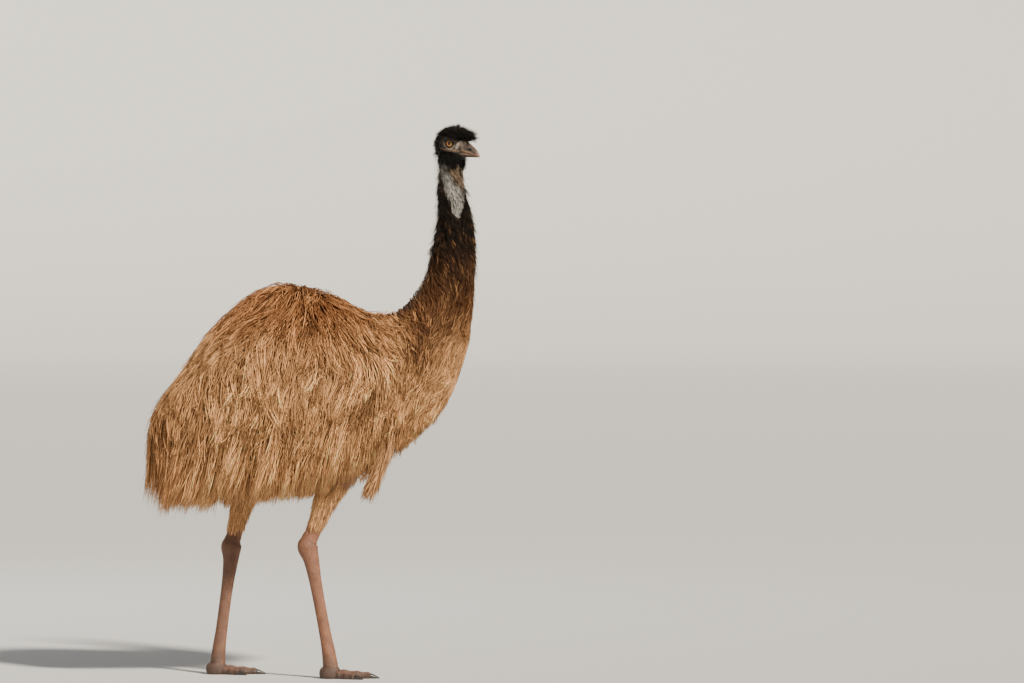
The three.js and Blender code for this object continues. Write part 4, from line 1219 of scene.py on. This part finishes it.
def shank_rows(leg):
    side, toe, (hx, hz), _ = leg
    y = side * LEG_SIDE
    share = lambda s: (hx + (toe - hx) * s, y, hz + (TOE_JOINT_Z - hz) * s)
    rows = [(hx + 0.007, y, hz + 0.040, 0.0235, 0.0195), (hx, y, hz + 0.022, 0.026, 0.022),
            (hx - 0.004, y, hz, 0.032, 0.025), (*share(0.12), 0.024, 0.020), (*share(0.35), 0.0185, 0.0145),
            (*share(0.70), 0.018, 0.014), (*share(0.90), 0.021, 0.019), (toe, y, 0.027, 0.024, 0.024),
            (toe, y, 0.016, 0.020, 0.021)]
    return [(*at(*row[:3]), *row[3:]) for row in rows]


for name, leg in LEGS.items():
    rings, plates = plated(limb(shank_rows(leg), 420, 56), 0.0125, 0.0016)
    points, faces = loft(rings)
    made = mesh_of(f"shank_skin_{name}", points, faces)
    # Painted shade: the left shank gets less red, for the far leg standing in the body's shadow
    scaly(made, np.append(plates.ravel(), (0, 0)), 1.0 if leg[0] < 0 else 0.55)
    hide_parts(f"shank_{name}")

# %% Feet and claws
TOES = {  # turn inwards in degrees, length, half width and height
    "middle": (0, 0.128, 0.017, 0.030), "inner": (30, 0.084, 0.014, 0.026),
    "outer": (-30, 0.092, 0.014, 0.026)}
CLAW_LENGTH = 0.027
PAD_SHARES = np.array([.86, .97, 1.0, .99, .93, .80])  # width of a foot pad from the floor up
claw_horn, tree, shader = material("claw horn", 0.38, (0.030, 0.025, 0.022), specular=0.45, coat=0.1)
bump(tree, shader, noise(tree, 140, 4, (0.5, 1, 1)), 0.3, 0.001)


def toe_place(leg, angle):
    side, toe = leg[:2]
    turn = Matrix.Rotation(math.radians(-side * angle), 4, "Z")
    return Matrix.Translation(Vector(at(toe, side * LEG_SIDE, 0))) @ turn


def toe_ring(x, half, height, sides=36, lift=0.0):
    a = np.linspace(0, 2 * np.pi, sides, endpoint=False)
    top = np.maximum(height * (0.42 + 0.58 * np.sin(a)), 0) + lift
    return np.stack([np.full(sides, x), half * np.cos(a), top], 1)


def toe_parts(length, half, height):
    """Toe with swellings at its joints, and plates across its top."""
    rings = []
    s = np.linspace(0.0, 1.0, 150)
    joints = 1 + 0.055 * np.cos((s - 0.35) * 2 * np.pi / 0.30)
    for share, swell in zip(s, joints):
        end = math.sqrt(max(1 - max((share - 0.93) / 0.075, 0) ** 2, 0.02))
        size = swell * end
        rings.append(toe_ring(length * share, half * (1.15 - 0.43 * share) * size,
                              height * (1.05 - 0.43 * share) * size))
    raised, plates = plated(rings, 0.0085, 0.0011, 0.9, (0, 0, 1))
    raised[..., 2] = np.maximum(raised[..., 2], 0.0)
    return loft(raised), plates


for name, leg in LEGS.items():
    a = np.linspace(0, 2 * np.pi, 60, endpoint=False)
    cx, cy, _ = at(leg[1] - 0.002, leg[0] * LEG_SIDE, 0)
    rings = []
    for z, share in zip(np.linspace(0, 0.036, 24), spline(PAD_SHARES, np.linspace(0, 5, 24))):
        rings.append(np.stack([cx + 0.0345 * share * np.cos(a), cy + 0.030 * share * np.sin(a),
                               np.full(60, z)], 1))
    made = mesh_of(f"foot_pad_skin_{name}", *loft(rings))
    scaly(made, np.zeros(len(made.data.vertices)), 0.6)
    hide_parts(f"foot_pad_{name}")
    for toe_name, (angle, length, half, height) in TOES.items():
        (points, faces), plates = toe_parts(length, half, height)
        made = mesh_of(f"toe_skin_{toe_name}_{name}", points, faces)
        made.data.transform(toe_place(leg, angle))
        scaly(made, np.append(plates.ravel(), (0, 0)), 0.7)
        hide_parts(f"toe_{toe_name}_{name}")
        s = np.linspace(0, 1, 30)
        rings = [toe_ring(length - 0.003 + (CLAW_LENGTH + 0.003) * k, half * 0.64 * (1 - 0.80 * k**1.3),
                          height * 0.57 * (1 - 0.80 * k**1.2), 28, 0.0004) for k in s]
        made = mesh_of(f"claw_horn_{toe_name}_{name}", *loft(rings), claw_horn)
        made.data.transform(toe_place(leg, angle))
        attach(made, "root")
        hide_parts(f"claw_{toe_name}_{name}")
print("legs and feet made")

# %% [markdown]
# ## Floor, light and camera
#
# The floor is a wide disc that curves up far outside every camera, so no edge shows behind the bird from
# any side. A soft sun stands high at the right, and one weak lamp fills from the left and another from
# behind. The camera is far off with a long lens, as wildlife is mostly photographed, so the legs and the
# head are seen nearly level.


# %% Floor and backdrop
FLOOR_SIDES, FLAT_REACH, BEND = 160, 34.0, 8.0


def studio():
    """A wide round floor that bends up far outside every camera."""
    bend = np.linspace(0, np.pi / 2, 40)
    reach = np.concatenate([(0.0, 4.0, 12.0, 24.0), FLAT_REACH + BEND * np.sin(bend)])
    height = np.concatenate([np.zeros(4), BEND * (1 - np.cos(bend))])
    angle = np.linspace(0, 2 * np.pi, FLOOR_SIDES, endpoint=False)
    ring = np.stack([np.cos(angle), np.sin(angle)], 1)
    points = [np.column_stack([ring * r, np.full(FLOOR_SIDES, z)]) for r, z in zip(reach, height)]
    j = np.arange(FLOOR_SIDES)
    k = (j + 1) % FLOOR_SIDES
    faces = [np.stack([j, j + FLOOR_SIDES, k + FLOOR_SIDES, k], 1) + FLOOR_SIDES * row
             for row in range(len(reach) - 1)]
    floor_finish, _, _ = material("studio floor", 0.85, (0.60, 0.60, 0.59), specular=0.15)
    made = mesh_of("studio_floor", np.concatenate(points), np.concatenate(faces), floor_finish)


studio()


def light(name, kind, place_at, aim, size, power, color):
    """A round area light, or a sun whose size is its angle, pointed from one place to another."""
    data = bpy.data.lights.new(name, kind)
    data.energy, data.color = power, color
    if kind == "SUN":
        data.angle = size
    else:
        data.shape, data.size = "DISK", size
    lamp = bpy.data.objects.new(name, data)
    lamp.location = place_at
    lamp.rotation_mode = "QUATERNION"
    lamp.rotation_quaternion = (Vector(aim) - Vector(place_at)).to_track_quat("-Z", "Y")
    bpy.context.scene.collection.objects.link(lamp)


light("high_right", "SUN", (4.2, -5.2, 6.2), (0.1, 0, 0.9), 0.11, 7.8, (1.0, 0.92, 0.79))
light("fill_left", "AREA", (-5.0, -5.0, 2.2), (0, 0, 0.9), 4.5, 45, (0.90, 0.95, 1.0))
light("behind", "AREA", (-2.5, 4.5, 4.5), (0, 0, 1.0), 3.0, 120, (1.0, 0.98, 0.95))

world = bpy.data.worlds.new("studio")
world.use_nodes = True
world.node_tree.nodes["Background"].inputs["Color"].default_value = (0.80, 0.83, 0.87, 1)
world.node_tree.nodes["Background"].inputs["Strength"].default_value = 0.13
bpy.context.scene.world = world

# %% Camera
lens = bpy.data.cameras.new("camera")
lens.lens, lens.sensor_width, lens.clip_end = 243.6, 36.0, 300.0
camera = bpy.data.objects.new("camera", lens)
camera.location = at(0.673, -22.0, 1.625)
camera.rotation_mode = "QUATERNION"
camera.rotation_quaternion = (Vector(at(0.673, 0, 1.065)) - camera.location).to_track_quat("-Z", "Y")
bpy.context.scene.collection.objects.link(camera)
bpy.context.scene.camera = camera
